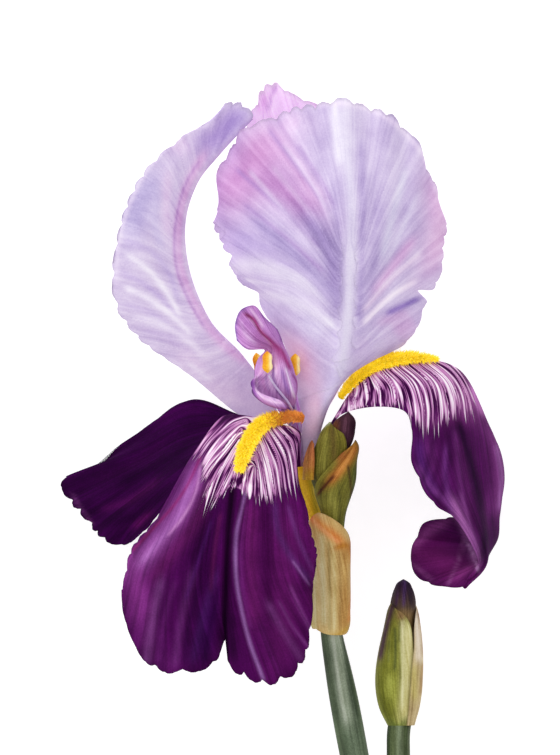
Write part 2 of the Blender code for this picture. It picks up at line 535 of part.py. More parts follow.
def make_spathe_and_bud():
    """The tan valve round the ovary, and the second bud of the same spathe in its own bracts."""
    stalk = tube_curve("bud_stalk", path(STALK_LINE), profile((0, 0.9), (1, 1.3)), 8, 1)
    add_piece(as_mesh(stalk), "bract")
    bract(
        "spathe_valve",
        SPATHE_LINE,
        radius=[(0, 3.7), (0.08, 4.5), (0.2, 5.0), (0.6, 5.4), (1, 5.3)],
        azimuth=[(0, 30.0), (0.5, 15.0), (1, -25.0)],
        half_angle=[(0, 160.0), (0.3, 130.0), (0.6, 115.0), (1, 100.0)],
        tip=0.28,
        material="spathe",
        rows=11,
        columns=(14, 12),
    )
    size = profile((0, 0.0), (0.05, 0.5), (0.3, 1.6), (0.5, 3.4), (0.7, 3.5), (0.85, 3.2), (0.95, 2.0), (1, 0.0))
    spindle("bud_petals", path(BUD_PETAL_LINE), size, 240, 3, 0.07, "bud_petal", 12, 16, BUD_FLAT)
    bract(
        "bud_bract_inner",
        BUD_LINE[:-1] + ((5.4, 2.6, 10.2),),
        radius=[(0, 1.1), (0.25, 2.1), (0.55, 4.9), (0.75, 4.9), (0.9, 4.4), (1, 4.0)],
        azimuth=[(0, -40.0), (1, -46.0)],
        half_angle=[(0, 100.0), (0.6, 92.0), (0.9, 62.0), (1, 24.0)],
        tip=0.1,
        material="bract",
        flat=BUD_FLAT,
    )
    bract(
        "bud_bract_outer",
        BUD_LINE[:-1],
        radius=[(0, 2.1), (0.25, 3.0), (0.6, 6.1), (0.8, 6.1), (1, 5.6)],
        azimuth=[(0, 20.0), (0.5, 35.0), (1, 78.0)],
        half_angle=[(0, 100.0), (0.5, 85.0), (0.8, 52.0), (1, 18.0)],
        tip=0.1,
        material="papery",
        flat=BUD_FLAT,
    )
    bract(
        "bud_scale",
        ((2.7, -12.0, 6.6), (3.2, -6.0, 8.4), (3.9, -2.0, 9.4)),
        radius=[(0, 5.9), (0.5, 6.0), (1, 5.7)],
        azimuth=[(0, -78.0), (1, -84.0)],
        half_angle=[(0, 22.0), (0.6, 18.0), (1, 5.0)],
        tip=0.1,
        material="papery",
        rows=6,
        columns=(4, 3),
        flat=BUD_FLAT,
    )


def make_side_bud():
    """The bud at the end of the side branch, in two bracts, and the bract where the branch leaves the stem."""
    size = profile(
        (0, 0.0), (0.1, 1.4), (0.21, 3.2), (0.37, 4.1), (0.5, 4.0), (0.64, 3.3), (0.76, 2.95), (0.87, 2.9), (0.95, 2.35), (1, 0.0)
    )
    spindle("side_bud_petals", path(SIDE_BUD_LINE), size, 260, 3, 0.05, "bud_petal", 12, 18)
    bract(
        "side_bud_bract_left",
        SIDE_BUD_LINE[:-1],
        radius=[(0, 2.9), (0.12, 4.3), (0.25, 5.0), (0.42, 5.3), (0.6, 4.9), (0.78, 4.2), (0.93, 3.7), (1, 3.5)],
        azimuth=[(0, -50.0), (1, -62.0)],
        half_angle=[(0, 125.0), (0.6, 105.0), (0.9, 62.0), (1, 24.0)],
        tip=0.08,
        material="bract",
    )
    bract(
        "side_bud_bract_right",
        SIDE_BUD_LINE[:-1],
        radius=[(0, 3.9), (0.12, 5.2), (0.25, 6.0), (0.42, 6.25), (0.6, 5.9), (0.78, 5.1), (0.93, 4.3), (1, 3.9)],
        azimuth=[(0, 100.0), (1, 96.0)],
        half_angle=[(0, 70.0), (0.6, 58.0), (0.9, 40.0), (1, 16.0)],
        tip=0.08,
        material="papery",
    )
    bract(
        "branch_bract",
        ((18.3, -133.0, -24.0), (19.4, -120.0, -21.2), (20.3, -104.0, -17.6)),
        radius=[(0, 3.95), (0.5, 4.25), (1, 3.9)],
        azimuth=[(0, 95.0), (1, 90.0)],
        half_angle=[(0, 100.0), (0.6, 70.0), (1, 12.0)],
        tip=0.1,
        material="bract",
        rows=8,
    )


def main():
    for obj in list(bpy.data.objects):
        bpy.data.objects.remove(obj)
    bpy.context.scene.collection.children.link(bpy.data.collections.new("iris"))
    for name in COLOURS:
        make_material(name)
    blades = make_petals()
    for name, (fall, *place) in BEARDS.items():
        make_beard(name, blades[fall], *place)
    make_styles()
    make_stamens()
    make_tube()
    make_stem()
    make_spathe_and_bud()
    make_side_bud()


main()
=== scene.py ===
import math

import bpy
import numpy as np
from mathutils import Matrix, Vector


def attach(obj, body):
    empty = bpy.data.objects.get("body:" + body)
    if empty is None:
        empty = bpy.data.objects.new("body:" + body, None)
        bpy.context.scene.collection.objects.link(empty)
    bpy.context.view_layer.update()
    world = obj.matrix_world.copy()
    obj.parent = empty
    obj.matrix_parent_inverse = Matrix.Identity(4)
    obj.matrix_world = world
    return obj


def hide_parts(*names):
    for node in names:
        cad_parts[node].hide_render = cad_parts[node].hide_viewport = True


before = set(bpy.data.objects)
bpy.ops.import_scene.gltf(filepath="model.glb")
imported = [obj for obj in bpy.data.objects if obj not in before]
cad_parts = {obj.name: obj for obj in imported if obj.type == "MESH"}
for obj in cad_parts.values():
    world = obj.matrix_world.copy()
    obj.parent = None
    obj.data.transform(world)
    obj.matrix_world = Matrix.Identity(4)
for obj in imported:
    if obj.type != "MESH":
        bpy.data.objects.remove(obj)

# Lengths are millimetres in the flower frame of the part's source: X across the flower, Y along the stem towards the
# flower, Z up from the table, with Z = 0 level with the middle of the throat. REST moves it to the resting place.
MM = 0.001
TABLE = -32.0
REST = np.array((9.0, 34.6, 32.0))
GAP = 0.3
PETAL_THICKNESS = 0.7
STEM_RADIUS, BRANCH_RADIUS = 3.5, 3.0
BEARD_CORE, BEARD_HAIR = 1.35, 0.9
# The mean depth of the cuts in a scalloped edge, as a share of the deepest.
LOBE_MIDDLE = 0.3

# The middle and the height of the view, and how far off the camera stands.
VIEW_CENTRE = (-10.0, 13.6)
VIEW_HEIGHT = 188.75
VIEW_DISTANCE = 4190.0
# The strength of the light from all round, of the softbox in watts, and of the floor's own light.
SKY, KEY, FLOOR_GLOW = 0.80, 9.0, 1.45
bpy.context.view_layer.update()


def rgb(code):
    """A colour code as scene-linear red, green and blue."""
    parts = np.array([int(code[i : i + 2], 16) / 255 for i in (1, 3, 5)])
    return np.where(parts <= 0.04045, parts / 12.92, ((parts + 0.055) / 1.055) ** 2.4)


# Forms


def through(knots, points, at):
    """A smooth curve that passes points at knots, read at the values in at. With one set of points for each value in at,
    every value reads its own curve."""
    knots, points, at = (np.asarray(a, float) for a in (knots, points, at))
    if points.ndim == 2:
        points = np.repeat(points[:, None, :], len(at), axis=1)
    gaps = np.diff(knots)[:, None, None]
    slopes = np.diff(points, axis=0) / gaps
    inner = (slopes[:-1] * gaps[1:] + slopes[1:] * gaps[:-1]) / (gaps[:-1] + gaps[1:])
    tangents = np.concatenate([slopes[:1], inner, slopes[-1:]])
    k = np.clip(np.searchsorted(knots, at, side="right") - 1, 0, len(knots) - 2)
    i = np.arange(len(at))
    gap = (knots[k + 1] - knots[k])[:, None]
    u = (at - knots[k])[:, None] / gap
    return (
        points[k, i] * (1 + 2 * u) * (1 - u) ** 2
        + tangents[k, i] * gap * u * (1 - u) ** 2
        + points[k + 1, i] * u**2 * (3 - 2 * u)
        + tangents[k + 1, i] * gap * u**2 * (u - 1)
    )


def path(points):
    """A smooth centre line through points, as a function of 0 to 1 along its length."""
    points = np.array(points, float)
    lengths = np.concatenate([[0], np.cumsum(np.linalg.norm(np.diff(points, axis=0), axis=1))])
    return lambda along: through(lengths / lengths[-1], points, np.atleast_1d(along))


def profile(*pairs):
    """A value that changes smoothly along a piece, from (place, value) pairs, as a function of 0 to 1."""
    places, values = zip(*pairs)
    return lambda along: through(places, np.array(values)[:, None], np.atleast_1d(along))[:, 0]


def around(centre, radius, azimuth, flat=1.0):
    """Points at radius and azimuth, in degrees, about a centre line that runs along Y. flat squeezes the depth."""
    turn = np.radians(azimuth)
    return centre + np.stack([radius * np.sin(turn), 0 * turn, flat * radius * np.cos(turn)], axis=-1)


def smooth(low, high, value):
    u = np.clip((value - low) / (high - low), 0, 1)
    return u * u * (3 - 2 * u)


THROAT = np.array((-4.2, -9.0, 0.0))
STYLE_RING, FILAMENT_RING, STANDARD_RING, FALL_RING, FUNNEL_RADIUS = 0.85, 1.95, 3.2, 4.35, 4.8
FRONT, RIGHT, LEFT = -38.0, 95.0, -155.0
FALL_HALF_ANGLE, STANDARD_HALF_ANGLE = 30.0, 22.0


def ring_rib(azimuth, half_angle, radius, height):
    """A rib that lies round the flower's axis, at a height along Y."""
    centre = np.array((THROAT[0], height, THROAT[2]))
    turns = azimuth + half_angle * np.linspace(-1, 1, 5)
    points = around(centre, radius, turns)
    return list(points[:2]), points[2], list(points[3:])


class Blade:
    """A petal's middle surface, lofted through ribs from its base to its margin.

    Each rib is (points from one edge, the midrib's point, points to the other edge). along runs from 0 at the base to 1
    at the margin, and across from -1 at one edge through 0 on the midrib to 1 at the other edge.
    """

    def __init__(self, ribs):
        self.ribs = [self.knotted(*rib) for rib in ribs]
        samples = np.linspace(-1, 1, 9)
        rows = [through(knots, points, samples) for knots, points in self.ribs]
        steps = [np.linalg.norm(b - a, axis=1).mean() for a, b in zip(rows, rows[1:])]
        self.stations = np.concatenate([[0], np.cumsum(steps)]) / sum(steps)

    @staticmethod
    def knotted(first, middle, second):
        points = np.array([*first, middle, *second], float)
        lengths = np.concatenate([[0], np.cumsum(np.linalg.norm(np.diff(points, axis=0), axis=1))])
        centre = lengths[len(first)]
        before, after = lengths / centre - 1, (lengths - centre) / (lengths[-1] - centre)
        return np.where(lengths < centre, before, after), points

    def point(self, along, across):
        rows = np.stack([through(knots, points, across) for knots, points in self.ribs])
        return through(self.stations, rows, along)

    def normal(self, along, across):
        step = 0.01
        up = self.point(np.minimum(along + step, 1), across) - self.point(np.maximum(along - step, 0), across)
        over = self.point(along, np.minimum(across + step, 1)) - self.point(along, np.maximum(across - step, -1))
        normals = np.cross(over, up)
        return normals / np.linalg.norm(normals, axis=1)[:, None]


def notch(turns):
    """0 on the crown of each lobe of a scalloped edge, 1 in the cleft between two lobes."""
    return 1 - np.abs(np.sin(np.pi * turns)) ** 0.7


def cleft(turns, frill):
    """The cuts between the lobes of an edge, with small lobes on each lobe. frill is their depth beside the lobe's own."""
    return notch(turns) + frill * (notch(2.6 * turns + 2) + 0.5 * notch(6.3 * turns) - 0.4)


def waved(blade, claw, lobes, side_lobes, cut, side_cut, ruffles, height, phase, frill, bites=()):
    """The blade's surface with a scalloped and ruffled edge beyond the claw, which is the share of it near the base.
    Each bite is (side, place along, depth, half width): a deeper notch in one side, or a lobe if its depth is less than 0."""

    def surface(along, across):
        open_part = smooth(claw, claw + 0.2, along)
        wander = 0.06 * np.sin(5 * across + phase) + 0.03 * np.sin(13 * across + 3 * phase)
        trimmed = along * (1 - cut * (cleft(lobes * (across + wander) + phase, frill) - LOBE_MIDDLE) * along**8)
        turns = side_lobes * (along + 0.02 * np.sin(17 * along)) + phase
        side = 1 - side_cut * (cleft(turns, frill) - LOBE_MIDDLE) * np.abs(across) ** 8 * open_part
        for way, place, depth, width in bites:
            bitten = depth * np.exp(-(((along - place) / width) ** 2)) * np.abs(across) ** 5
            side = side - np.where(across * way > 0, bitten, 0)
        points = blade.point(trimmed, across * side)
        tip_wave = along**5 * np.sin(ruffles * np.pi * across + phase)
        side_wave = np.abs(across) ** 5 * np.sin(ruffles * 1.3 * np.pi * along + 2 * phase)
        lift = height * open_part * (tip_wave + side_wave) * 0.7
        return points + blade.normal(trimmed, across * side) * lift[:, None]

    return surface


def sheath(axis, radius, azimuth, half_angle, tip=0.0, flat=1.0, blunt=1.6):
    """A bract's surface, wrapped round a centre line, with radius, azimuth and half_angle as functions of the place on it.
    tip is the share of the length by which the edges stay behind the end, which is rounder for a greater blunt."""

    def surface(along, across):
        spot = along * (1 - tip * np.abs(across) ** blunt)
        turns = azimuth(spot) + half_angle(spot) * across
        return around(axis(spot), radius(spot), turns, flat)

    return surface


# Ribs of the six petals, each from one edge over the midrib to the other edge.
FALL_FRONT = (
    ring_rib(FRONT, FALL_HALF_ANGLE, FALL_RING, -9.0),
    ring_rib(FRONT, FALL_HALF_ANGLE, 6.4, -3.5),
    ([(-16.0, 1.6, 4.2), (-12.4, 1.8, 6.4)], (-8.4, 1.0, 8.8), [(-6.2, 0.8, 9.6), (-4.6, -0.6, 9.8)]),
    ([(-23.5, 4.2, 6.5), (-20.0, 3.6, 11.0)], (-14.0, 1.2, 14.6), [(-10.0, -0.4, 15.4), (-5.6, -5.0, 14.0)]),
    ([(-31.0, -4.5, 9.5), (-25.5, -3.0, 16.0)], (-18.4, -4.6, 19.9), [(-12.2, -7.2, 19.5), (-5.4, -11.5, 17.0)]),
    ([(-38.5, -17.5, 12.0), (-34.0, -19.0, 18.0), (-26.0, -19.5, 19.5)], (-20.6, -19.0, 23.6),
     [(-12.0, -20.0, 23.2), (-3.2, -19.5, 20.0)]),
    ([(-46.2, -28.4, 12.5), (-41.0, -35.0, 18.0), (-32.0, -37.0, 21.5), (-24.6, -36.5, 18.9)], (-21.6, -36.0, 24.6),
     [(-12.0, -37.0, 24.4), (-1.2, -29.0, 20.0)]),
    ([(-49.8, -39.5, 13.5), (-47.6, -51.0, 15.5), (-41.8, -58.6, 18.5), (-32.0, -59.6, 20.5), (-25.6, -57.4, 18.5),
      (-23.5, -51.8, 16.0), (-21.6, -59.0, 20.5)], (-15.0, -62.4, 21.5),
     [(-8.3, -61.2, 21.5), (-3.3, -54.8, 20.5), (-2.1, -44.0, 20.0), (-0.9, -33.0, 20.0)]),
)
FALL_RIGHT = (
    ring_rib(RIGHT, FALL_HALF_ANGLE, FALL_RING, -9.0),
    ([(0.6, -3.0, 4.0)], (2.4, -0.8, -0.4), [(0.9, -3.0, -4.6)]),
    ([(4.2, 3.6, 6.6)], (6.8, 8.4, -0.6), [(4.8, 4.0, -8.0)]),
    ([(11.0, 6.0, 10.0), (12.0, 10.8, 6.0)], (13.3, 15.2, -0.6), [(12.6, 12.0, -7.0), (11.6, 7.0, -13.0)]),
    ([(20.5, 5.5, 13.5), (22.2, 12.6, 7.5)], (23.8, 18.0, -0.8), [(23.4, 14.5, -9.5), (22.4, 8.0, -17.5)]),
    ([(22.9, 0.5, 15.5), (28.0, 9.0, 10.5)], (34.5, 15.4, -1.5), [(36.6, 11.0, -11.5), (35.2, 4.0, -21.5)]),
    ([(23.0, -8.0, 16.0), (30.0, -4.5, 10.0)], (38.2, 2.5, -3.0), [(42.2, 1.6, -14.0), (43.2, -1.0, -26.0)]),
    ([(28.0, -17.8, 14.5), (34.0, -15.5, 8.0)], (40.0, -12.0, -4.5), [(45.3, -11.0, -15.5), (46.2, -11.0, -29.5)]),
    ([(34.4, -22.6, 11.0), (38.2, -24.0, 5.0)], (42.0, -22.5, -5.5), [(44.8, -21.5, -16.0), (45.2, -19.0, -31.5)]),
    ([(38.4, -29.0, 8.0), (40.9, -30.8, 3.5)], (42.4, -31.0, -3.5), [(43.4, -28.6, -13.0), (43.8, -24.0, -33.0)]),
    ([(40.4, -34.2, 3.0), (37.2, -37.0, 2.0)], (32.2, -38.9, -1.0),
     [(26.0, -37.8, -4.0), (23.4, -33.4, -7.0), (22.8, -28.5, -10.0), (25.6, -23.6, -14.0), (31.0, -22.0, -18.5),
      (38.6, -22.6, -29.0)]),
)
FALL_LEFT = (
    ring_rib(LEFT, FALL_HALF_ANGLE, FALL_RING, -9.0),
    ([(-10.0, -5.5, -4.4)], (-8.4, -4.6, -8.0), [(-4.6, -4.6, -9.8)]),
    ([(-16.0, -6.5, -5.8)], (-14.4, -1.2, -12.4), [(-10.4, 0.5, -17.6)]),
    ([(-25.0, -9.0, -8.6), (-24.8, -4.0, -12.6)], (-23.5, -0.6, -17.4), [(-21.2, 4.6, -24.6)]),
    ([(-35.5, -16.0, -11.6), (-35.5, -10.0, -15.0)], (-34.5, -4.0, -20.6), [(-31.4, 8.0, -28.6)]),
    ([(-43.5, -24.0, -14.0), (-45.0, -17.5, -18.5)], (-46.0, -10.5, -24.0), [(-45.8, -5.0, -27.6), (-43.4, 1.8, -31.0)]),
    ([(-46.5, -27.8, -15.5), (-50.8, -28.6, -18.0), (-55.8, -25.8, -20.5), (-58.4, -22.6, -23.0)], (-61.6, -19.0, -26.0),
     [(-64.4, -15.6, -29.0), (-64.6, -12.4, -31.6), (-60.6, -10.8, -33.0), (-52.6, -6.8, -33.2)]),
)
STANDARD_RIGHT = (
    ring_rib(30.0, STANDARD_HALF_ANGLE, STANDARD_RING, -9.0),
    ([(-4.4, -2.0, 4.3), (-3.5, -2.0, 4.6)], (-2.5, -2.0, 4.6), [(-1.4, -2.0, 4.2), (-0.4, -2.0, 3.2)]),
    ([(-4.8, 5.0, 3.4), (-3.0, 4.6, 5.2)], (-0.6, 4.0, 5.8), [(1.2, 5.0, 5.2), (2.2, 6.6, 3.8)]),
    ([(-6.6, 12.0, 3.0)], (2.2, 10.0, 7.6), [(6.6, 13.4, 4.8)]),
    ([(-9.6, 23.5, 1.6), (-3.2, 22.0, 8.2)], (4.6, 20.0, 11.0), [(12.0, 21.0, 8.6), (20.6, 22.2, 4.0)]),
    ([(-17.4, 34.5, -1.0), (-7.5, 36.0, 8.6)], (5.8, 36.0, 14.5), [(16.5, 35.5, 10.6), (27.0, 32.0, 3.6)]),
    ([(-25.0, 47.0, -4.5), (-12.5, 51.0, 8.0)], (7.0, 54.0, 16.5), [(19.5, 51.0, 11.2), (31.4, 46.0, 0.6)]),
    ([(-26.4, 56.0, -5.6), (-25.0, 66.5, -5.0), (-19.0, 75.6, -2.5), (-9.0, 79.8, 2.0), (-1.5, 82.0, 5.0)],
     (5.0, 83.0, 6.0),
     [(12.6, 81.2, 5.0), (20.6, 77.0, 2.8), (26.6, 67.8, 0.4), (30.4, 56.5, -0.6)]),
)
STANDARD_LEFT = (
    ring_rib(-94.0, STANDARD_HALF_ANGLE, STANDARD_RING, -9.0),
    ([(-9.4, -2.6, 0.6)], (-8.8, -1.8, -0.8), [(-9.4, -2.6, -2.4)]),
    ([(-20.0, 4.0, 1.4)], (-12.4, 8.6, -0.4), [(-17.6, 4.0, -6.0)]),
    ([(-31.5, 13.4, 4.6)], (-19.4, 18.8, 1.2), [(-27.0, 15.0, -9.0)]),
    ([(-46.4, 24.6, 9.0), (-37.4, 27.0, 7.6)], (-28.0, 28.2, 2.6), [(-32.0, 28.0, -6.0), (-39.0, 26.0, -13.0)]),
    ([(-51.6, 34.5, 12.0), (-42.6, 38.6, 10.0)], (-32.8, 39.8, 3.0), [(-36.6, 39.5, -7.0), (-45.0, 38.0, -15.0)]),
    ([(-50.3, 50.0, 12.5), (-42.4, 52.0, 10.4)], (-34.0, 52.0, 3.0), [(-37.4, 51.5, -7.0), (-45.4, 50.0, -14.0)]),
    ([(-45.0, 63.4, 10.0), (-39.0, 62.5, 8.0)], (-31.3, 61.7, 1.0), [(-33.6, 62.0, -5.6), (-40.0, 62.5, -10.0)]),
    ([(-33.8, 74.2, 4.0), (-30.4, 72.6, 2.0)], (-24.9, 70.3, -2.6), [(-26.6, 71.6, -4.6), (-30.6, 73.2, -6.8)]),
    ([(-25.3, 78.6, -0.4), (-23.3, 82.3, -1.4), (-19.6, 82.2, -2.8)], (-16.9, 79.2, -4.6),
     [(-18.4, 76.8, -5.4), (-21.5, 75.6, -6.0)]),
)
STANDARD_BACK = (
    ring_rib(150.0, STANDARD_HALF_ANGLE, STANDARD_RING, -9.0),
    ring_rib(150.0, STANDARD_HALF_ANGLE, 5.6, 2.0),
    ring_rib(150.0, 27.0, 12.0, 15.0),
    ([(-14.0, 33.0, -15.0)], (0.0, 33.0, -25.0), [(14.0, 31.0, -15.0)]),
    ([(-20.0, 51.0, -12.5), (-11.0, 53.0, -26.5)], (-1.0, 54.0, -34.2), [(10.0, 53.0, -26.5), (20.0, 50.0, -12.5)]),
    ([(-20.6, 62.0, -9.5), (-18.8, 73.0, -8.5), (-16.9, 80.6, -7.0), (-14.6, 85.4, -6.5)], (-11.0, 87.4, -7.5),
     [(-6.4, 84.6, -9.5), (4.0, 79.6, -11.5), (14.5, 74.0, -11.0), (20.0, 63.0, -10.0)]),
)

# The front style arm: a cup over the front beard, with a lip in front, a narrow waist and a crest that spreads above it.
STYLE_FRONT = (
    ring_rib(FRONT, 38.0, STYLE_RING, -9.0),
    ([(-7.0, 0.0, 1.0)], (-6.3, 0.0, 1.9), [(-5.6, 0.0, 2.5)]),
    ([(-9.8, 5.8, 5.6)], (-8.2, 5.7, 6.4), [(-6.3, 5.7, 6.2)]),
    ([(-8.2, 6.2, 14.6), (-11.6, 6.5, 15.4), (-15.0, 8.0, 12.4), (-13.2, 8.2, 8.6)], (-9.0, 8.0, 9.0), [(-5.9, 8.2, 8.2)]),
    ([(-9.8, 7.9, 16.0), (-13.6, 8.3, 15.8), (-16.8, 10.0, 12.8), (-14.6, 10.2, 10.0)], (-9.2, 10.0, 11.6), [(-5.7, 9.8, 9.0)]),
    ([(-15.4, 9.8, 15.0), (-17.0, 12.4, 12.6), (-15.0, 12.8, 11.8)], (-9.2, 12.6, 13.4), [(-5.7, 12.4, 9.6)]),
    ([(-16.4, 14.6, 12.4), (-14.6, 15.0, 13.2)], (-9.4, 15.0, 14.2), [(-6.3, 14.6, 10.6)]),
    ([(-15.6, 18.0, 12.4), (-14.5, 18.0, 13.4), (-12.9, 17.8, 12.4)], (-9.8, 17.8, 14.4), [(-7.0, 17.0, 11.8)]),
    ([(-13.8, 20.4, 13.6), (-12.2, 21.0, 13.6)], (-10.4, 21.2, 14.6), [(-8.6, 20.4, 12.6)]),
    ([(-18.0, 20.6, 16.2), (-16.4, 23.4, 16.4)], (-13.4, 25.0, 15.6), [(-9.8, 23.6, 12.4)]),
    ([(-20.8, 22.8, 15.2), (-21.2, 27.0, 14.4), (-19.6, 30.6, 13.4)], (-17.0, 31.6, 12.8),
     [(-13.8, 28.6, 12.2), (-10.6, 25.6, 11.8)]),
)
STYLE_PATHS = {
    "style_right": (RIGHT, ((1.6, -3.0), (3.4, 4.0), (6.6, 13.0), (11.6, 20.4), (17.0, 24.4), (19.4, 29.0))),
    "style_left": (LEFT, ((1.6, -3.0), (3.6, 1.0), (7.6, 6.6), (12.4, 10.6), (16.4, 12.6), (18.4, 17.0))),
}
STYLE_HALF_WIDTHS = (1.1, 1.7, 3.4, 4.6, 4.2, 4.0)
STYLE_ARCH = 0.35

# Each stamen: the azimuth of its foot, the way of its filament, and the two ends of its anther.
STAMENS = {
    "front": (
        -48.0,
        [(-6.7, -3.5, 2.9), (-7.6, 0.0, 4.1), (-7.3, 3.2, 7.0), (-6.9, 5.2, 10.2), (-8.0, 7.4, 12.6), (-9.8, 9.7, 14.0),
         (-11.6, 12.0, 14.9), (-12.8, 14.2, 15.1)],
        ((-13.1, 14.7, 15.1), (-13.2, 20.2, 15.2)),
    ),
    "right": (
        -5.0,
        [(-4.4, -3.5, 2.4), (-4.7, 0.0, 2.9), (-5.8, 4.0, 3.4), (-6.5, 8.5, 5.2), (-6.2, 13.4, 7.0)],
        ((-6.2, 13.9, 7.1), (-6.2, 19.6, 8.0)),
    ),
    "left": (
        -140.0,
        [(-6.4, -3.0, -3.4), (-10.5, 3.2, -5.0), (-12.9, 8.4, -4.5), (-14.6, 13.2, -3.6)],
        ((-14.8, 13.7, -3.5), (-16.0, 19.8, -2.4)),
    ),
}
# Each beard's fall, the places along the fall where it starts and ends, its place across the fall, the side of the fall
# it stands on, and its size beside the front beard.
BEARDS = {
    "beard_front": ("fall_front", 0.19, 0.46, 0.0, -1, 1.0),
    "beard_right": ("fall_right", 0.16, 0.42, -0.14, -1, 0.88),
    "beard_left": ("fall_left", 0.12, 0.25, 0.0, 1, 0.9),
}

STEM_SIZE = profile((0, 2.95), (0.4, 3.3), (0.6, STEM_RADIUS), (0.85, STEM_RADIUS), (1, 2.6))
TUBE_LINE = (
    (2.7, -47.7, -4.5), (2.6, -38.0, -4.3), (1.0, -27.5, -3.0), (-1.6, -20.0, -1.4), (-3.9, -14.5, -0.2), (-4.2, -9.55, 0.0),
)
STEM_LINE = (
    (21.0, -156.0, -29.05), (19.0, -136.0, -24.6), (16.4, -120.0, -20.9), (12.2, -100.0, -15.9), (8.5, -80.7, -11.1),
    (6.5, -70.0, -8.5), (4.6, -60.0, -6.1), (3.1, -52.0, -4.1), (2.6, -48.8, -3.4),
)
BRANCH_LINE = (
    (18.5, -134.0, -24.1), (19.7, -120.0, -20.8), (20.4, -105.0, -17.4), (20.0, -90.0, -14.4), (19.7, -81.0, -12.8),
    (19.9, -74.3, -12.0),
)
SPATHE_LINE = ((2.8, -50.8, -3.7), (2.4, -44.0, -2.6), (2.1, -36.0, -1.7), (2.1, -28.0, 0.1), (2.0, -20.2, 2.0))
STALK_LINE = ((3.9, -48.2, -1.7), (3.8, -38.0, -0.2), (3.5, -27.6, 2.1))
BUD_LINE = (
    (3.5, -27.1, 2.2), (3.2, -20.0, 4.0), (2.7, -12.5, 6.4), (3.0, -7.0, 8.2), (4.2, -2.0, 9.6), (6.6, 4.9, 10.6),
)
BUD_PETAL_LINE = BUD_LINE[:-2] + ((4.9, -2.0, 9.6), (7.1, 5.1, 10.6))
BUD_FLAT = 0.75
SIDE_BUD_LINE = (
    (20.1, -73.7, -12.0), (19.4, -67.0, -11.4), (19.6, -58.0, -10.8), (20.4, -49.0, -10.5), (21.0, -43.0, -10.2),
    (21.0, -37.0, -10.0),
)


# Paint


def nearest(flat, way):
    """The distance from each point to a line through the points of way, how far along it that is, and its length."""
    best, place, before = np.full(len(flat), 1e9), np.zeros(len(flat)), 0.0
    for start, end in zip(way, way[1:]):
        run = end - start
        length = math.hypot(*run)
        share = np.clip((flat - start) @ run / length**2, 0, 1)
        apart = np.linalg.norm(flat - start - share[:, None] * run, axis=1)
        closer = apart < best
        best, place = np.where(closer, apart, best), np.where(closer, before + share * length, place)
        before += length
    return best, place, before


def drawn(spots, steps=24):
    """A smooth line through given (x, y) spots."""
    return path([(*spot, 0) for spot in spots])(np.linspace(0, 1, steps))[:, :2]


def brush(points, base, strokes=()):
    """The colour of each point of a piece: a base colour with soft brush strokes laid over it, in order. A stroke is
    (colour, strength, half width, (x, y), ...). It follows its spots, seen from above, and fades out over its width
    and at both ends."""
    colour = np.tile(rgb(base), (len(points), 1))
    flat = points[:, :2]
    for code, strength, width, *spots in strokes:
        apart, place, length = nearest(flat, drawn(spots, 8 * len(spots)))
        fade = min(2.5 * width, length / 3)
        ends = smooth(-0.5 * fade, fade, np.minimum(place, length - place))
        weight = strength * ends * np.exp(-((apart / width) ** 2))
        colour += (rgb(code) - colour) * weight[:, None]
    return colour


def tinted(colour, code, weight):
    """A piece's colours with one more laid over them, by a weight for each point."""
    return colour + (rgb(code) - colour) * np.clip(weight, 0, 1)[:, None]


def fan(points, guides):
    """How far round a fan of guide lines each point lies, counted in guides, and how far out along them, with 1 at the
    end of a guide and more beyond it."""
    gaps, places = [], []
    for guide in guides:
        way = drawn(guide)
        length = np.linalg.norm(np.diff(way, axis=0), axis=1).sum()
        ahead = (way[-1] - way[-3]) / np.linalg.norm(way[-1] - way[-3])
        gap, place, _ = nearest(points[:, :2], [*way, way[-1] + 1.5 * length * ahead])
        gaps.append(gap)
        places.append(place / length)
    gaps, places, rows = np.array(gaps), np.array(places), np.arange(len(points))
    first = gaps.argmin(axis=0)
    walled = np.pad(gaps, ((1, 1), (0, 0)), constant_values=1e9)
    second = np.where(walled[first, rows] < walled[first + 2, rows], first - 1, first + 1)
    share = gaps[first, rows] / (gaps[first, rows] + gaps[second, rows])
    turn = first + (second - first) * share
    return np.stack([turn, places[first, rows] * (1 - share) + places[second, rows] * share], axis=-1)


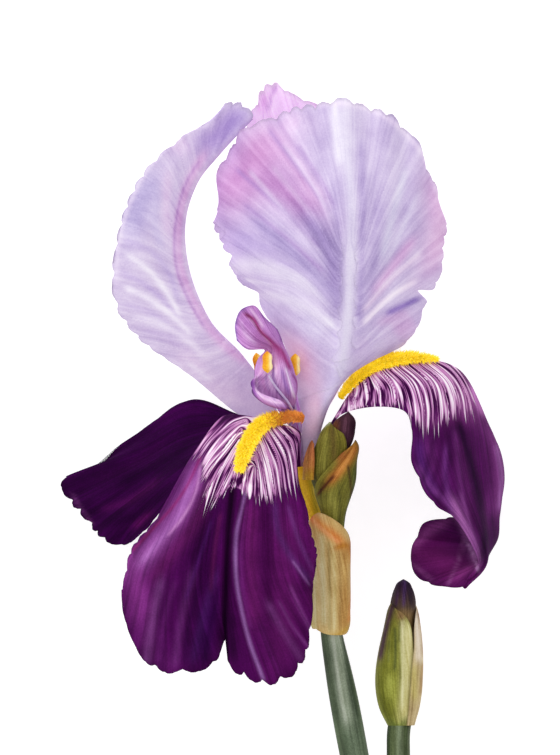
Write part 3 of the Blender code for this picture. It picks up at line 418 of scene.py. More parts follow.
class Shader:
    """Builds a material's nodes. Its methods return output sockets, and take sockets or plain values."""

    def __init__(self, name):
        self.material = bpy.data.materials.new(name)
        self.material.use_nodes = True
        self.tree = self.material.node_tree
        self.bsdf = self.tree.nodes["Principled BSDF"]

    def node(self, kind, inputs=(), **settings):
        node = self.tree.nodes.new(kind)
        for key, value in settings.items():
            setattr(node, key, value)
        for key, value in dict(inputs).items():
            if isinstance(value, bpy.types.NodeSocket):
                self.tree.links.new(value, node.inputs[key])
            else:
                node.inputs[key].default_value = value
        return node

    def uv(self, layer):
        return self.node("ShaderNodeUVMap", uv_map=layer).outputs[0]

    def noise(self, vector, scale, detail=4.0, roughness=0.6, distortion=0.0):
        mapped = self.node("ShaderNodeMapping", {"Vector": vector, "Scale": scale})
        inputs = {"Vector": mapped.outputs[0], "Scale": 1.0, "Detail": detail}
        inputs |= {"Roughness": roughness, "Distortion": distortion}
        return self.node("ShaderNodeTexNoise", inputs).outputs["Fac"]

    def remap(self, value, low, high, new_low=0.0, new_high=1.0):
        inputs = {"Value": value, "From Min": low, "From Max": high, "To Min": new_low, "To Max": new_high}
        return self.node("ShaderNodeMapRange", inputs, interpolation_type="SMOOTHSTEP").outputs[0]

    def math(self, operation, a, b):
        return self.node("ShaderNodeMath", {0: a, 1: b}, operation=operation).outputs[0]

    def mix(self, a, b, amount, kind="MIX"):
        return self.node("ShaderNodeMix", {0: amount, 6: a, 7: b}, data_type="RGBA", blend_type=kind).outputs[2]

    def ramp(self, value, *stops):
        """Colours along a value, from (place, colour code) stops."""
        node = self.node("ShaderNodeValToRGB", {0: value})
        marks = node.color_ramp.elements
        while len(marks) < len(stops):
            marks.new(0.5)
        for mark, (place, code) in zip(marks, stops):
            mark.position = place
            mark.color = (*rgb(code), 1)
        return node.outputs["Color"]

    def finish(self, colour, roughness, height, bump, **fixed):
        """Joins the colour, the roughness and a bump of so many millimetres to the surface."""
        self.tree.links.new(colour, self.bsdf.inputs["Base Color"])
        self.tree.links.new(roughness, self.bsdf.inputs["Roughness"])
        bumped = self.node("ShaderNodeBump", {"Height": height, "Distance": bump * MM, "Strength": 1.0})
        self.tree.links.new(bumped.outputs[0], self.bsdf.inputs["Normal"])
        for key, value in fixed.items():
            self.bsdf.inputs[key.replace("_", " ")].default_value = value
        return self.material


def tissue(
    name, streak=0.5, fine=0.4, grain=0.2, across=16.0, along=1.3, bump=0.12, rough=0.55, specular=0.3, layer="grown",
    striped=False, glow=0.0,
):
    """Plant tissue: its painted colours, with streaks that run the way of a layout of the piece and a fine grain over
    all. On a fall, striped adds the pale and dark veins that fan out from the beard. glow is painted light: the piece
    shines with its own painted colour, to stand in for light through it from behind and to lift it out of shade."""
    s = Shader(name)
    colour = s.node("ShaderNodeAttribute", attribute_name="paint")
    painted, haft = colour.outputs["Color"], colour.outputs["Alpha"]
    grown = s.uv(layer)
    place = s.node("ShaderNodeTexCoord").outputs["Object"]
    broad = s.noise(grown, (across, along, 1.0), 5.0, 0.62, 0.35)
    thin = s.noise(grown, (across * 5.5, along * 1.8, 1.0), 4.0, 0.6, 0.5)
    speck = s.noise(place, (2400.0, 2400.0, 2400.0), 3.0, 0.65)
    cloud = s.noise(place, (160.0, 160.0, 160.0), 3.0, 0.5)
    shade = s.mix(painted, s.remap(broad, 0.25, 0.75), streak, "SOFT_LIGHT")
    shade = s.mix(shade, s.remap(thin, 0.25, 0.75), fine, "SOFT_LIGHT")
    shade = s.mix(shade, s.remap(speck, 0.2, 0.8), grain, "SOFT_LIGHT")
    shade = s.mix(shade, s.remap(cloud, 0.2, 0.8), grain, "SOFT_LIGHT")
    height = s.math("ADD", thin, s.math("MULTIPLY", speck, 0.4))
    if striped:
        fanned = s.uv("fan")
        lines = s.noise(fanned, (3.3, 0.9, 1.0), 1.5, 0.5, 0.35)
        hairlines = s.noise(fanned, (9.5, 2.0, 1.0), 1.0, 0.5, 0.3)
        lines = s.math("ADD", s.math("MULTIPLY", lines, 0.68), s.math("MULTIPLY", hairlines, 0.32))
        ends = s.noise(fanned, (6.0, 0.01, 1.0), 1.0, 0.5)
        out = s.node("ShaderNodeSeparateXYZ", {0: fanned}).outputs[1]
        reach = s.math("SUBTRACT", out, s.math("MULTIPLY", s.math("SUBTRACT", lines, 0.5), 1.6))
        reach = s.math("SUBTRACT", reach, s.math("MULTIPLY", s.math("SUBTRACT", ends, 0.5), 0.5))
        within = s.math("MULTIPLY", s.remap(reach, 1.0, 0.88), haft)
        veins = s.ramp(
            lines, (0.415, "#35083a"), (0.455, "#6b2c6a"), (0.485, "#ae6ca6"), (0.53, "#ca8cc0"), (0.565, "#e6c0e0"),
            (0.605, "#fdf3fc"),
        )
        shade = s.mix(shade, veins, within)
        height = s.math("ADD", height, s.math("MULTIPLY", s.math("MULTIPLY", lines, within), 3.0))
    dull = s.remap(thin, 0.2, 0.8, rough - 0.1, rough + 0.12)
    if glow:
        s.tree.links.new(shade, s.bsdf.inputs["Emission Color"])
        s.bsdf.inputs["Emission Strength"].default_value = glow
    return s.finish(shade, dull, height, bump, Specular_IOR_Level=specular)


# Meshes


def make_piece(name, points, faces, colours, material, nodes=(), grown=None, fanned=None, sharp=60.0):
    """A piece of the iris from its points in the flower frame. It rides on the part's one body. colours has red, green,
    blue and, on a fall, the share of the beard's veins that shows."""
    mesh = bpy.data.meshes.new(name)
    mesh.from_pydata((np.asarray(points) + REST) * MM, [], faces)
    if colours.shape[1] == 3:
        colours = np.concatenate([colours, np.ones((len(colours), 1))], axis=1)
    mesh.attributes.new("paint", "FLOAT_COLOR", "POINT").data.foreach_set("color", colours.ravel())
    corners = np.empty(len(mesh.loops), int)
    mesh.loops.foreach_get("vertex_index", corners)
    for layer, values in (("grown", np.asarray(points)[:, :2] if grown is None else grown), ("fan", fanned)):
        if values is not None:
            mesh.uv_layers.new(name=layer).data.foreach_set("uv", np.asarray(values, float)[corners].ravel())
    mesh.materials.append(material)
    mesh.shade_smooth()
    mesh.set_sharp_from_angle(angle=math.radians(sharp))
    piece = bpy.data.objects.new(name, mesh)
    bpy.context.scene.collection.objects.link(piece)
    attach(piece, "root")
    if nodes:
        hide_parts(*nodes)
    return piece


def grid_normals(points):
    """Unit normals of a grid of points, rows by columns."""
    normals = np.cross(np.gradient(points, axis=1), np.gradient(points, axis=0))
    return normals / np.maximum(np.linalg.norm(normals, axis=2), 1e-9)[:, :, None]


def grid_faces(rows, columns, start=0, flip=False, wrap=False):
    """The quads of a grid of points, rows by columns, that begin at the point numbered start."""
    across = columns if wrap else columns - 1
    r, c = np.meshgrid(np.arange(rows - 1), np.arange(across), indexing="ij")
    a, b = start + r * columns + c, start + r * columns + (c + 1) % columns
    quads = np.stack([a, b, b + columns, a + columns], axis=-1).reshape(-1, 4)
    return quads[:, ::-1] if flip else quads


def leaf(
    name, surface, grid, thickness, paint, material, nodes=(), relief=None, fanned=None, even=1.0, edge=0.12,
):
    """A thin closed piece round a surface, with a thin rounded margin. grid is its rows and columns, paint gives its
    colours, relief its raised folds in millimetres and fanned its second layout, each from (points, across, along)."""
    rows, columns = grid
    along, across = np.meshgrid(np.linspace(0, 1, rows) ** even, np.linspace(-1, 1, columns), indexing="ij")
    t, s = along.ravel(), across.ravel()
    points = surface(t, s).reshape(rows, columns, 3)
    normals = grid_normals(points)
    if relief is not None:
        points = points + normals * relief(points.reshape(-1, 3), s, t).reshape(rows, columns, 1)
    rim = np.minimum(1 - np.abs(s), 1 - t)
    half = (thickness / 2 * (edge + (1 - edge) * np.sqrt(smooth(0, 0.06, rim)))).reshape(rows, columns, 1)
    middle = points.reshape(-1, 3)
    both = np.concatenate([(points + normals * half).reshape(-1, 3), (points - normals * half).reshape(-1, 3)])
    both[:, 2] = np.maximum(both[:, 2], TABLE)
    count = rows * columns
    index = np.arange(count).reshape(rows, columns)
    ring = np.concatenate([index[0, :-1], index[:-1, -1], index[-1, :0:-1], index[:0:-1, 0]])
    after = np.roll(ring, -1)
    rims = np.stack([after, ring, ring + count, after + count], axis=-1)
    faces = np.concatenate([grid_faces(rows, columns), grid_faces(rows, columns, count, True), rims])
    shade = 1 - 0.22 * (1 - smooth(0.001, 0.009, rim))
    colours = np.tile(paint(middle, s, t) * shade[:, None], (2, 1))
    colours = np.column_stack([colours, np.tile(smooth(0.05, 0.16, t), 2)])
    grown = np.tile(np.stack([s, t], axis=-1), (2, 1))
    fans = None if fanned is None else np.tile(fanned(middle, s, t), (2, 1))
    return make_piece(name, both, faces, colours, material, nodes, grown, fans)


def closed(points, rows, segments, ends, flip):
    """Points and faces of a skin of rings, closed by a fan at each end."""
    faces = [tuple(f) for f in grid_faces(rows, segments, flip=flip, wrap=True)]
    count, last = len(points), (rows - 1) * segments
    for k in range(segments):
        after = (k + 1) % segments
        caps = [(count, after, k), (count + 1, last + k, last + after)]
        faces += [cap[::-1] for cap in caps] if flip else caps
    return np.concatenate([points, *ends]), faces


def tube(centre_line, radius, rows, segments):
    """Points, faces and (turn, along) of a closed tube round a centre line. radius takes the place and the turn."""
    v = np.linspace(0, 1, rows)
    middle = centre_line(v)
    ahead = np.gradient(middle, axis=0)
    ahead /= np.linalg.norm(ahead, axis=1)[:, None]
    side = np.cross(ahead, (0.0, 0.0, 1.0))
    side /= np.linalg.norm(side, axis=1)[:, None]
    up = np.cross(side, ahead)
    turn = np.linspace(0, 2 * np.pi, segments, endpoint=False)
    size = radius(np.repeat(v, segments), np.tile(turn, rows)).reshape(rows, segments, 1)
    ring = side[:, None] * np.cos(turn)[None, :, None] + up[:, None] * np.sin(turn)[None, :, None]
    points = (middle[:, None] + ring * size).reshape(-1, 3)
    points, faces = closed(points, rows, segments, (middle[:1], middle[-1:]), True)
    grown = np.stack([np.tile(turn, rows) / np.pi, np.repeat(v, segments)], axis=-1)
    return points, faces, np.concatenate([grown, [[0, 0], [0, 1]]])


def furled(centre_line, size, twist, lobes, step, rows, segments, flat=1.0):
    """Points, faces and (turn, along) of petals furled round a centre line, each overlapping the next by a low step."""
    v = (1 - np.cos(np.linspace(0, np.pi, rows))) / 2
    along, turn = np.repeat(v, segments), np.tile(np.arange(segments) * 360 / segments, rows)
    wound = ((lobes * turn + twist * along) / 360) % 1
    swell = 1 + step * (np.minimum(wound, (1 - wound) * 6) - 0.5)
    points = around(centre_line(along), size(along) * swell, turn, flat)
    points, faces = closed(points, rows, segments, (centre_line(0.0), centre_line(1.0)), False)
    grown = np.stack([wound, along], axis=-1)
    return points, faces, np.concatenate([grown, [[0, 0], [0, 1]]])


def rod(name, centre_line, radius, rows, segments, paint, material, nodes=()):
    points, faces, grown = tube(centre_line, radius, rows, segments)
    return make_piece(name, points, faces, paint(points, grown), material, nodes, grown)


# Petals

# How the edge of each petal is scalloped and ruffled, as in the part's source, with a finer frill on each lobe.
EDGES = {
    "fall_front": dict(
        claw=0.45, lobes=8, side_lobes=14, cut=0.014, side_cut=0.02, ruffles=5, height=0.9, phase=0.4, frill=0.15
    ),
    "fall_right": dict(
        claw=0.45, lobes=4, side_lobes=11, cut=0.009, side_cut=0.03, ruffles=3, height=0.5, phase=1.3, frill=0.05
    ),
    "fall_left": dict(
        claw=0.5, lobes=5, side_lobes=8, cut=0.017, side_cut=0.02, ruffles=4, height=0.8, phase=2.2, frill=0.15
    ),
    "standard_right": dict(
        claw=0.3, lobes=9, side_lobes=15, cut=0.012, side_cut=0.024, ruffles=7, height=1.1, phase=0.9, frill=0.2,
        bites=(
            (-1, 0.555, 0.07, 0.02), (-1, 0.62, -0.045, 0.025), (-1, 0.69, 0.045, 0.02), (1, 0.585, 0.18, 0.012),
            (1, 0.37, -0.09, 0.04),
        ),
    ),
    "standard_left": dict(
        claw=0.25, lobes=3, side_lobes=23, cut=0.008, side_cut=0.055, ruffles=3, height=0.5, phase=1.7, frill=0.2
    ),
    "standard_back": dict(
        claw=0.4, lobes=7, side_lobes=12, cut=0.011, side_cut=0.02, ruffles=6, height=0.8, phase=0.2, frill=0.2
    ),
}
RIBS = {
    "fall_front": FALL_FRONT,
    "fall_right": FALL_RIGHT,
    "fall_left": FALL_LEFT,
    "standard_right": STANDARD_RIGHT,
    "standard_left": STANDARD_LEFT,
    "standard_back": STANDARD_BACK,
}
# Rows and columns of each petal.
GRIDS = {
    "fall_front": (206, 200),
    "fall_right": (184, 144),
    "fall_left": (92, 92),
    "standard_right": (206, 200),
    "standard_left": (164, 136),
    "standard_back": (76, 76),
}
PETAL = 0.45

# The veins that fan out from a fall's beard: lines from the beard outwards, round it in order, and the number of veins
# from one line to the next.
VEINS = {
    "fall_front": (1.15, (
        ((-17.5, 4.25), (-21.9, 3.6), (-25, 0.8), (-28.1, -2.6), (-30.3, -5.75)),
        ((-18.75, 2.7), (-22.5, 0.5), (-26.25, -3.9), (-29, -8.25)),
        ((-19.7, 0.5), (-23.1, -3.9), (-27.5, -8.9), (-29.4, -12)),
        ((-20.1, -2), (-22.5, -5.75), (-25, -10), (-27.5, -17)),
        ((-20.5, -5.1), (-21.9, -8.25), (-24.4, -13.25), (-26.25, -17)),
        ((-20.6, -8.25), (-21.25, -11.4), (-22.5, -15.1)),
        ((-20.5, -10.4), (-21.25, -13.9)),
        ((-16.6, -8.9), (-17.2, -12), (-17.5, -16.4)),
        ((-16.25, -6.4), (-15.6, -10.75), (-15.3, -16.4)),
        ((-15.6, -3.9), (-14.4, -9.5), (-13.1, -17)),
        ((-15, -2), (-12.5, -8.9), (-11.25, -17.6)),
        ((-14, -0.1), (-10.6, -7), (-9.4, -14.5)),
        ((-13.1, 1.1), (-9.4, -5.1), (-7.5, -14.5)),
        ((-11.9, 2.4), (-7.5, -3.25), (-5.6, -13.25)),
        ((-10, 2.7), (-5.6, -0.75), (-5, -7)),
        ((-6.9, 1.75), (-4.7, 0.5), (-4.4, -3.25)),
    )),
    "fall_right": (1.3, (
        ((5.5, 7.5), (4.5, 5.5), (3.2, 4)),
        ((8.5, 11), (7.8, 8), (8.2, 5.4)),
        ((11.5, 13), (12, 9.5), (12.2, 6.3)),
        ((13.5, 14), (15.4, 10.5), (15.6, 6.4)),
        ((15.6, 14.8), (18.4, 11.6), (19.4, 6.4)),
        ((17.5, 15.6), (21, 12.2), (22.8, 6.6), (23.2, 2.6)),
        ((20, 16.2), (24.6, 11.8), (26, 6.8), (26.2, 0)),
        ((22.5, 16.8), (27.8, 11.8), (28.8, 7), (29, 2)),
        ((25, 17.2), (30.6, 12), (32, 7), (32.2, 3.5)),
        ((26.9, 17.8), (33, 12.4), (34.8, 7.5), (35, 4.5)),
        ((27.5, 18.6), (32.4, 16), (36.4, 10.4), (37.6, 4.6)),
        ((27.5, 19.4), (31.5, 18.4), (35.4, 14.8), (38.4, 9.6)),
    )),
}
# Where the veins of the left fall end, as a share of its length.
LEFT_VEINS_END = 0.2

# The run of the veins of two standards: lines from the midrib to the margin, round the petal in order.
STREAMS = {
    "standard_right": (
        ((2, 14), (-6, 20), (-12, 27), (-15, 31)),
        ((4, 22), (-4, 29), (-14, 35)),
        ((4.4, 27), (-6, 37), (-18, 40), (-22, 43)),
        ((4.4, 33), (-6, 44), (-18, 52), (-25.5, 56)),
        ((4.6, 38), (-4, 50), (-14, 61), (-23, 70)),
        ((5, 44), (-1, 56), (-9, 68), (-16, 77)),
        ((5.6, 48), (1.6, 62), (-3, 72), (-6.5, 79)),
        ((6.4, 20), (7, 50), (5, 81)),
        ((9, 48), (11, 64), (13, 79.5)),
        ((10, 44), (15, 60), (20, 75)),
        ((10, 38), (18, 54), (26.5, 66)),
        ((10, 33), (19, 45), (30, 56)),
        ((9.6, 28), (19, 37.5), (30.5, 46)),
        ((9, 23), (18, 31), (27, 36)),
        ((7, 16), (16, 24), (25, 30)),
        ((4, 8), (12, 15.6), (21, 21)),
    ),
    "standard_left": (
        ((-18, 15.5), (-24, 10.5), (-28, 9)),
        ((-22, 18), (-30, 15.5), (-35, 16.5)),
        ((-26, 21.5), (-34, 20.6), (-42, 22)),
        ((-29, 25), (-38, 25.8), (-48, 27.4)),
        ((-32, 30), (-41, 32.4), (-51, 34.5)),
        ((-34.6, 37), (-42, 40), (-51, 42)),
        ((-35.5, 44), (-42, 48.5), (-50.4, 50.5)),
        ((-35.4, 51), (-40, 58), (-46.5, 60.5)),
        ((-34, 57), (-37.6, 64), (-41, 68.6)),
        ((-32.4, 62), (-34, 68), (-36, 72)),
        ((-30, 66), (-30, 71), (-31, 76)),
        ((-26, 70), (-23, 76), (-20, 82)),
    ),
}

# Base colour and brush strokes of each petal, as (colour, strength, half width, (x, y), ...). Some strokes paint
# highlights, sheen and shade, as marked below.
PAINT = {
    "standard_right": ("#cbbcde", (
        ("#d09bce", 0.95, 8.0, (-28, 56), (-17, 67), (-11, 78)),
        ("#bc85c1", 0.85, 4.2, (-17, 66), (-8, 60), (1, 52)),
        ("#d8abd8", 0.7, 2.2, (-14, 76), (-6, 66), (1, 56)),
        ("#dcbce2", 0.7, 3.0, (-10, 78), (-5, 76)),
        ("#c8b8e2", 0.6, 3.2, (-24, 49), (-16, 47), (-9, 45)),
                        ("#b08cc6", 0.75, 0.7, (-13, 76), (-4, 64), (3, 54)),
        ("#b394ca", 0.75, 0.6, (-6, 72), (0, 63), (3.8, 56)),
        ("#b08fc8", 0.7, 0.7, (-19, 57), (-9, 49), (1, 40)),
        ("#ae8cc8", 0.6, 0.6, (-21, 66), (-10, 56), (0, 46)),
        ("#dccfe8", 0.5, 0.6, (-17.8, 65.6), (-8, 54), (0.5, 44.5)),
        ("#dccfe8", 0.5, 0.6, (-9, 72), (-2, 62), (3.4, 53)),
        ("#dcc8e4", 0.4, 0.7, (-12, 66.5), (-5, 58), (1, 50)),
        # The next three violet-blue strokes are painted shade in the hollow left of the midrib.
        ("#927cb6", 0.8, 2.6, (-5, 56), (2, 46), (4.4, 28)),
        ("#a492c6", 0.7, 1.8, (-18, 54), (-6, 44), (4, 33)),
        ("#a18ec0", 0.6, 1.6, (3.6, 64), (4.4, 48), (4.6, 33)),
        ("#e2dbec", 0.85, 2.2, (-24, 41.5), (-13, 41), (-6, 38), (1, 33)),
        ("#e0d9ea", 0.8, 1.8, (-17, 34.5), (-9, 33.5), (-2, 30), (4, 25)),
        ("#ebe6f2", 0.7, 0.6, (-19, 38.5), (-9, 35.5), (-2, 31.5), (4, 26)),
        ("#c4b3dc", 0.6, 0.8, (-12, 43.5), (-4, 40), (3, 33)),
        ("#cdbfe0", 0.6, 1.0, (-13, 37), (-5, 34), (2, 28)),
        ("#d8d0ea", 0.7, 3.0, (-6, 27), (1, 24)),
        # This pink stroke is painted lighter than the petal's own colour, as painted light that lifts the shade it lies
        # in near the style arm.
        ("#ecc8e2", 0.9, 3.4, (-11, 25), (-5, 19), (-2.4, 8)),
        ("#e3bbd6", 0.85, 2.6, (-1.4, 11), (-1, 4), (-3, -3)),
        ("#dacdee", 0.85, 1.8, (4.4, 27), (4.6, 18), (3, 11), (1, 3)),
        # The next two strokes are painted shade in the hollow right of the midrib.
        ("#b6a3d2", 0.85, 1.2, (9.9, 25), (10.3, 45), (10.5, 60), (10, 74)),
        ("#b29fce", 0.7, 2.2, (12.3, 26), (13.2, 42), (14.5, 60)),
        # The next three strokes are a pale band along the midrib, partly its own paler colour and partly painted
        # highlight, whitest at the top.
        ("#dad2e8", 0.95, 1.3, (5, 13), (6.6, 26), (7.6, 42), (7.6, 60), (6, 74)),
        ("#ddd6e9", 0.85, 2.8, (6, 66), (5.4, 84)),
        ("#ebe6f2", 0.7, 1.0, (3.4, 83), (5, 66)),
        ("#dcd8ec", 0.6, 1.1, (21.5, 66), (18, 54), (15.4, 43)),
        ("#dbd4ea", 0.5, 0.8, (25.5, 62), (21, 52), (16, 41)),
        ("#ddb6db", 0.85, 4.0, (27.5, 66), (30, 55), (28.5, 44), (25, 38)),
        ("#d9aeda", 0.7, 1.4, (24, 49), (18, 41), (13, 34)),
        ("#ecdcf0", 0.8, 0.8, (25.5, 45), (18, 38.5), (10.5, 30)),
        ("#f0e2f3", 0.85, 0.8, (24.5, 38.2), (17, 33.5), (10.5, 27)),
        ("#cfabd6", 0.8, 3.2, (24, 28), (18, 24.5)),
        ("#c39acb", 0.6, 1.4, (22, 30.5), (14, 27)),
        ("#8a70b8", 0.95, 0.9, (16, 29.4), (21, 31.7), (25.4, 33.8)),
        ("#c5afd9", 0.6, 2.4, (12, 24), (9, 18)),
        ("#efe0f4", 0.5, 0.8, (-2, 82), (7, 82), (16, 79), (21, 75), (26, 69), (30, 58)),
    )),
    "standard_left": ("#d4c5e3", (
        ("#bcb0da", 0.85, 4.6, (-49, 47), (-45, 57), (-40, 66)),
        ("#dcc4e5", 0.8, 3.0, (-37, 70), (-33, 73)),
        ("#e0c8e7", 0.7, 1.4, (-38, 66), (-38.5, 56), (-38, 48)),
        ("#cbbfe3", 0.7, 1.2, (-41, 60), (-41.5, 52), (-39.5, 45)),
        ("#bca6dd", 0.95, 3.4, (-31.5, 69), (-25, 75), (-18, 82)),
        ("#c4b2dd", 0.7, 0.7, (-49.5, 48), (-43, 45.5), (-38, 40), (-35.5, 33)),
        ("#f2ecf8", 0.9, 0.8, (-48.5, 44.5), (-43, 40.5), (-38.5, 35), (-35, 29)),
        ("#c6b3de", 0.75, 0.7, (-50, 40), (-44, 37), (-39, 32.5), (-35, 27)),
        ("#f0e9f7", 0.9, 0.9, (-49.5, 36.5), (-43, 33.4), (-37, 29), (-32, 24)),
        ("#c9b7df", 0.75, 0.8, (-49.5, 32), (-43, 30), (-37, 26.4)),
        ("#ebe2f4", 0.85, 1.0, (-47.5, 29), (-40, 27), (-34, 23.4), (-29, 19)),
        ("#cdbae0", 0.6, 1.0, (-44, 25.6), (-38, 23.4), (-31, 19)),
        ("#d9c3e3", 0.7, 2.4, (-36, 20), (-29, 15)),
        ("#dcc8e6", 0.8, 3.4, (-31, 13), (-18, 7)),
        ("#e4daef", 0.6, 0.8, (-34, 18), (-27, 12.5)),
        ("#dbb2de", 0.9, 1.3, (-28.6, 70.4), (-32.6, 63), (-34.8, 56), (-35.6, 47.6), (-34.8, 40.6), (-32, 33.7),
         (-28.4, 26.8), (-23.6, 21.4), (-17.8, 17)),
        ("#bb8fcb", 0.7, 0.4, (-30.2, 68), (-33.6, 62.4), (-35.8, 55), (-36.6, 47), (-35.8, 40), (-33, 33), (-29, 26)),
        ("#e8dcf1", 0.6, 0.5, (-28.8, 66), (-32, 60.5), (-33.8, 54), (-34, 46), (-32.8, 39), (-30, 32)),
        ("#e9dcf2", 0.5, 0.7, (-50.8, 36), (-50.2, 48), (-47, 58.5), (-41.5, 68), (-34, 75), (-27.5, 77)),
    )),
    "standard_back": ("#e8cfea", (
        ("#d5a6d8", 0.9, 1.3, (-15.6, 79.5), (-14.4, 82.5), (-12.6, 85.6)),
        ("#b884c6", 0.85, 0.35, (-14.4, 79), (-12.5, 83), (-10.9, 87)),
        ("#f3e2f4", 0.7, 1.0, (-12, 80.5), (-10.6, 85)),
    )),
    "fall_left": ("#2c0336", (
        # A painted sheen on the upper part of the dark fall.
        ("#3f0848", 0.5, 1.8, (-27, 6), (-36, 5), (-42, 1)),
        ("#37083f", 0.4, 1.4, (-38, -2), (-48, -9), (-57, -12.5)),
        ("#4c0f4e", 0.5, 1.0, (-40, -12), (-47, -17), (-55, -20)),
        ("#50104c", 0.6, 1.0, (-42, -20), (-47, -24.5)),
        ("#1d0126", 0.8, 1.8, (-32, -3), (-40, -9), (-52, -13)),
        ("#1d0126", 0.7, 1.2, (-38, -15), (-46, -21), (-53, -23.5)),
        ("#6a3a70", 0.5, 0.5, (-62.5, -15.5), (-60.5, -19), (-58, -22)),
        ("#7a4478", 0.6, 0.35, (-59, -21.8), (-57, -23.2)),
    )),
    "fall_front": ("#43094a", (
        ("#5a195a", 0.8, 5.0, (-8, -14), (-9, -40), (-11, -64)),
        ("#7a367e", 0.85, 3.4, (-49, -26), (-46, -38), (-43.6, -50)),
        ("#5a2060", 0.6, 2.4, (-44, -44), (-42, -54), (-36, -60)),
        ("#2f0539", 0.85, 4.2, (-25, -14), (-29, -29), (-30, -44)),
        ("#431360", 0.6, 2.6, (-27, -40), (-30, -58)),
        ("#5c1d58", 0.7, 2.0, (-28, -12), (-31, -22), (-36, -29), (-43, -38)),
        # The next three strokes are a painted sheen along the left margin, brightest in its middle.
        ("#8e5698", 0.9, 2.4, (-29.6, -6), (-32, -14), (-35.5, -20.5), (-40, -26.5), (-47, -35)),
        ("#a478b4", 0.6, 0.9, (-31.4, -12), (-35.6, -21.5), (-39, -26), (-45, -33)),
        ("#c39ac6", 0.5, 0.4, (-29.6, -8), (-31, -15), (-34, -21), (-38, -26)),
        ("#7c2660", 0.7, 0.45, (-29.5, -6), (-33.6, -14.5), (-36.8, -19), (-41, -23.6), (-47, -30)),
        # The next seven strokes are painted highlights on the lobes at the lower left and painted shade in the furrows
        # between them.
        ("#8a5c96", 0.35, 1.1, (-39.4, -36), (-41.6, -47), (-43.6, -59)),
        ("#3b0b42", 0.8, 1.5, (-38.4, -40), (-39.6, -50), (-39.4, -61)),
        ("#581f60", 0.6, 0.7, (-36, -37), (-39, -48), (-40.4, -58)),
        ("#6f3c7a", 0.35, 1.0, (-31.6, -34), (-34.6, -47), (-36.2, -59)),
        ("#32093e", 0.7, 0.7, (-30, -38), (-33, -49), (-33.8, -58)),
        ("#4d2468", 0.5, 1.0, (-25.6, -34), (-29.4, -46.5), (-32, -58)),
        ("#2f0840", 0.6, 0.7, (-25, -38), (-27.6, -49), (-29, -58)),
        ("#4d1f66", 0.5, 0.5, (-27, -22), (-30.4, -32), (-33.6, -42)),
        ("#5c1b50", 0.5, 0.6, (-24.6, -20), (-26.4, -30), (-27.4, -40)),
        # The next two strokes are painted shadow in the valley where the fall's right half folds over its left.
        ("#130017", 0.95, 1.0, (-21.8, -13), (-22.7, -25), (-23.2, -36), (-23.4, -46), (-23.2, -57)),
        ("#1d0424", 0.7, 1.2, (-22, -44), (-21.4, -58)),
        # The next three strokes are a painted highlight and painted sheen along the fold's ridge.
        ("#86699a", 0.9, 0.45, (-17.2, -9), (-19.3, -18.5), (-20.7, -25), (-21, -31), (-20.7, -37), (-19.4, -44.5),
         (-17.6, -52), (-14, -62)),
        ("#65276e", 0.7, 0.45, (-18.2, -18), (-19.6, -30), (-19.3, -38), (-17, -49)),
        ("#661f62", 0.8, 2.0, (-17, -16), (-17.2, -33), (-16, -49)),
        ("#2f0431", 0.6, 1.2, (-13.8, -18), (-13.2, -34), (-12.2, -48)),
        ("#55336e", 0.5, 0.9, (-11.4, -17), (-10.4, -25), (-8, -30), (-2, -38)),
        # The next two strokes are painted highlights on the right lobe and its margin.
        ("#6d4080", 0.45, 0.6, (-8.2, -18), (-5.4, -27), (-1.6, -35)),
        ("#9c78ae", 0.5, 0.3, (-7, -32), (-2.6, -38.4)),
        ("#7c4886", 0.45, 0.9, (-13.4, -42), (-9, -50), (-4, -57.6)),
        ("#7c4886", 0.4, 0.4, (-10.4, -42), (-6.6, -49), (-2.6, -54)),
        ("#7c4884", 0.4, 0.6, (-7.6, -38), (-4.6, -45), (-2, -50)),
        ("#521858", 0.6, 0.8, (-15.2, -47), (-11.6, -57), (-9, -62)),
        ("#531651", 0.5, 1.2, (-3.4, -19), (-1.6, -30), (-2.8, -45)),
    )),
    "fall_right": ("#48104e", (
        ("#6c2c6c", 0.7, 2.0, (27, 1), (31, 3.4), (38, 3)),
        ("#a86aa6", 0.9, 3.0, (29, 17), (34, 12), (39, 5)),
        ("#5e2866", 0.8, 2.4, (26.5, 0), (27, -8), (26, -14)),
        ("#50266e", 0.7, 1.4, (24.2, -1), (25.6, -9), (29, -16)),
        ("#7a4488", 0.6, 0.8, (24, -8), (27.4, -13.4), (33, -19)),
        ("#6c3a80", 0.6, 0.8, (31.2, -3), (31.2, -12), (33, -21)),
        ("#2a0431", 0.45, 0.9, (28.8, 1), (27.4, -6), (25, -13.6)),
        ("#2c0536", 0.45, 0.9, (32.4, 1), (32, -9), (29, -19)),
        ("#38093f", 0.6, 0.8, (30.6, 3), (30, -6), (27.8, -13.6)),
        ("#6c3474", 0.6, 0.8, (33.6, 1), (34.6, -9), (35.6, -19)),
        ("#501b54", 0.6, 0.8, (34.8, -1), (36.6, -12), (37.6, -23)),
        # Painted shadow in the valley where the fall's two halves fold together.
        ("#1e0226", 0.9, 1.3, (34, 4), (37.6, -8), (39.9, -18), (41.2, -26), (40, -34)),
        # A painted sheen on the far half of the fall, then a painted highlight along its edge.
        ("#703874", 0.85, 2.2, (41.6, 4), (44.6, -8), (44.4, -15), (43, -23)),
        ("#9a70a6", 0.5, 0.7, (44, -3), (45.4, -11), (44.8, -20)),
        ("#521b58", 0.6, 0.8, (40.6, -1), (42.6, -13), (42.8, -24)),
        ("#380a40", 0.7, 1.0, (43, -20.5), (43, -27), (41.2, -34)),
        ("#a672ac", 0.75, 1.1, (32.4, -16), (35.6, -23), (37.6, -27.5), (39.4, -34)),
        ("#8a5492", 0.5, 0.5, (35, -15), (37.2, -23), (39, -31)),
        ("#c9b4d4", 0.5, 0.35, (36.8, -27.6), (38.8, -31.6), (39.6, -35)),
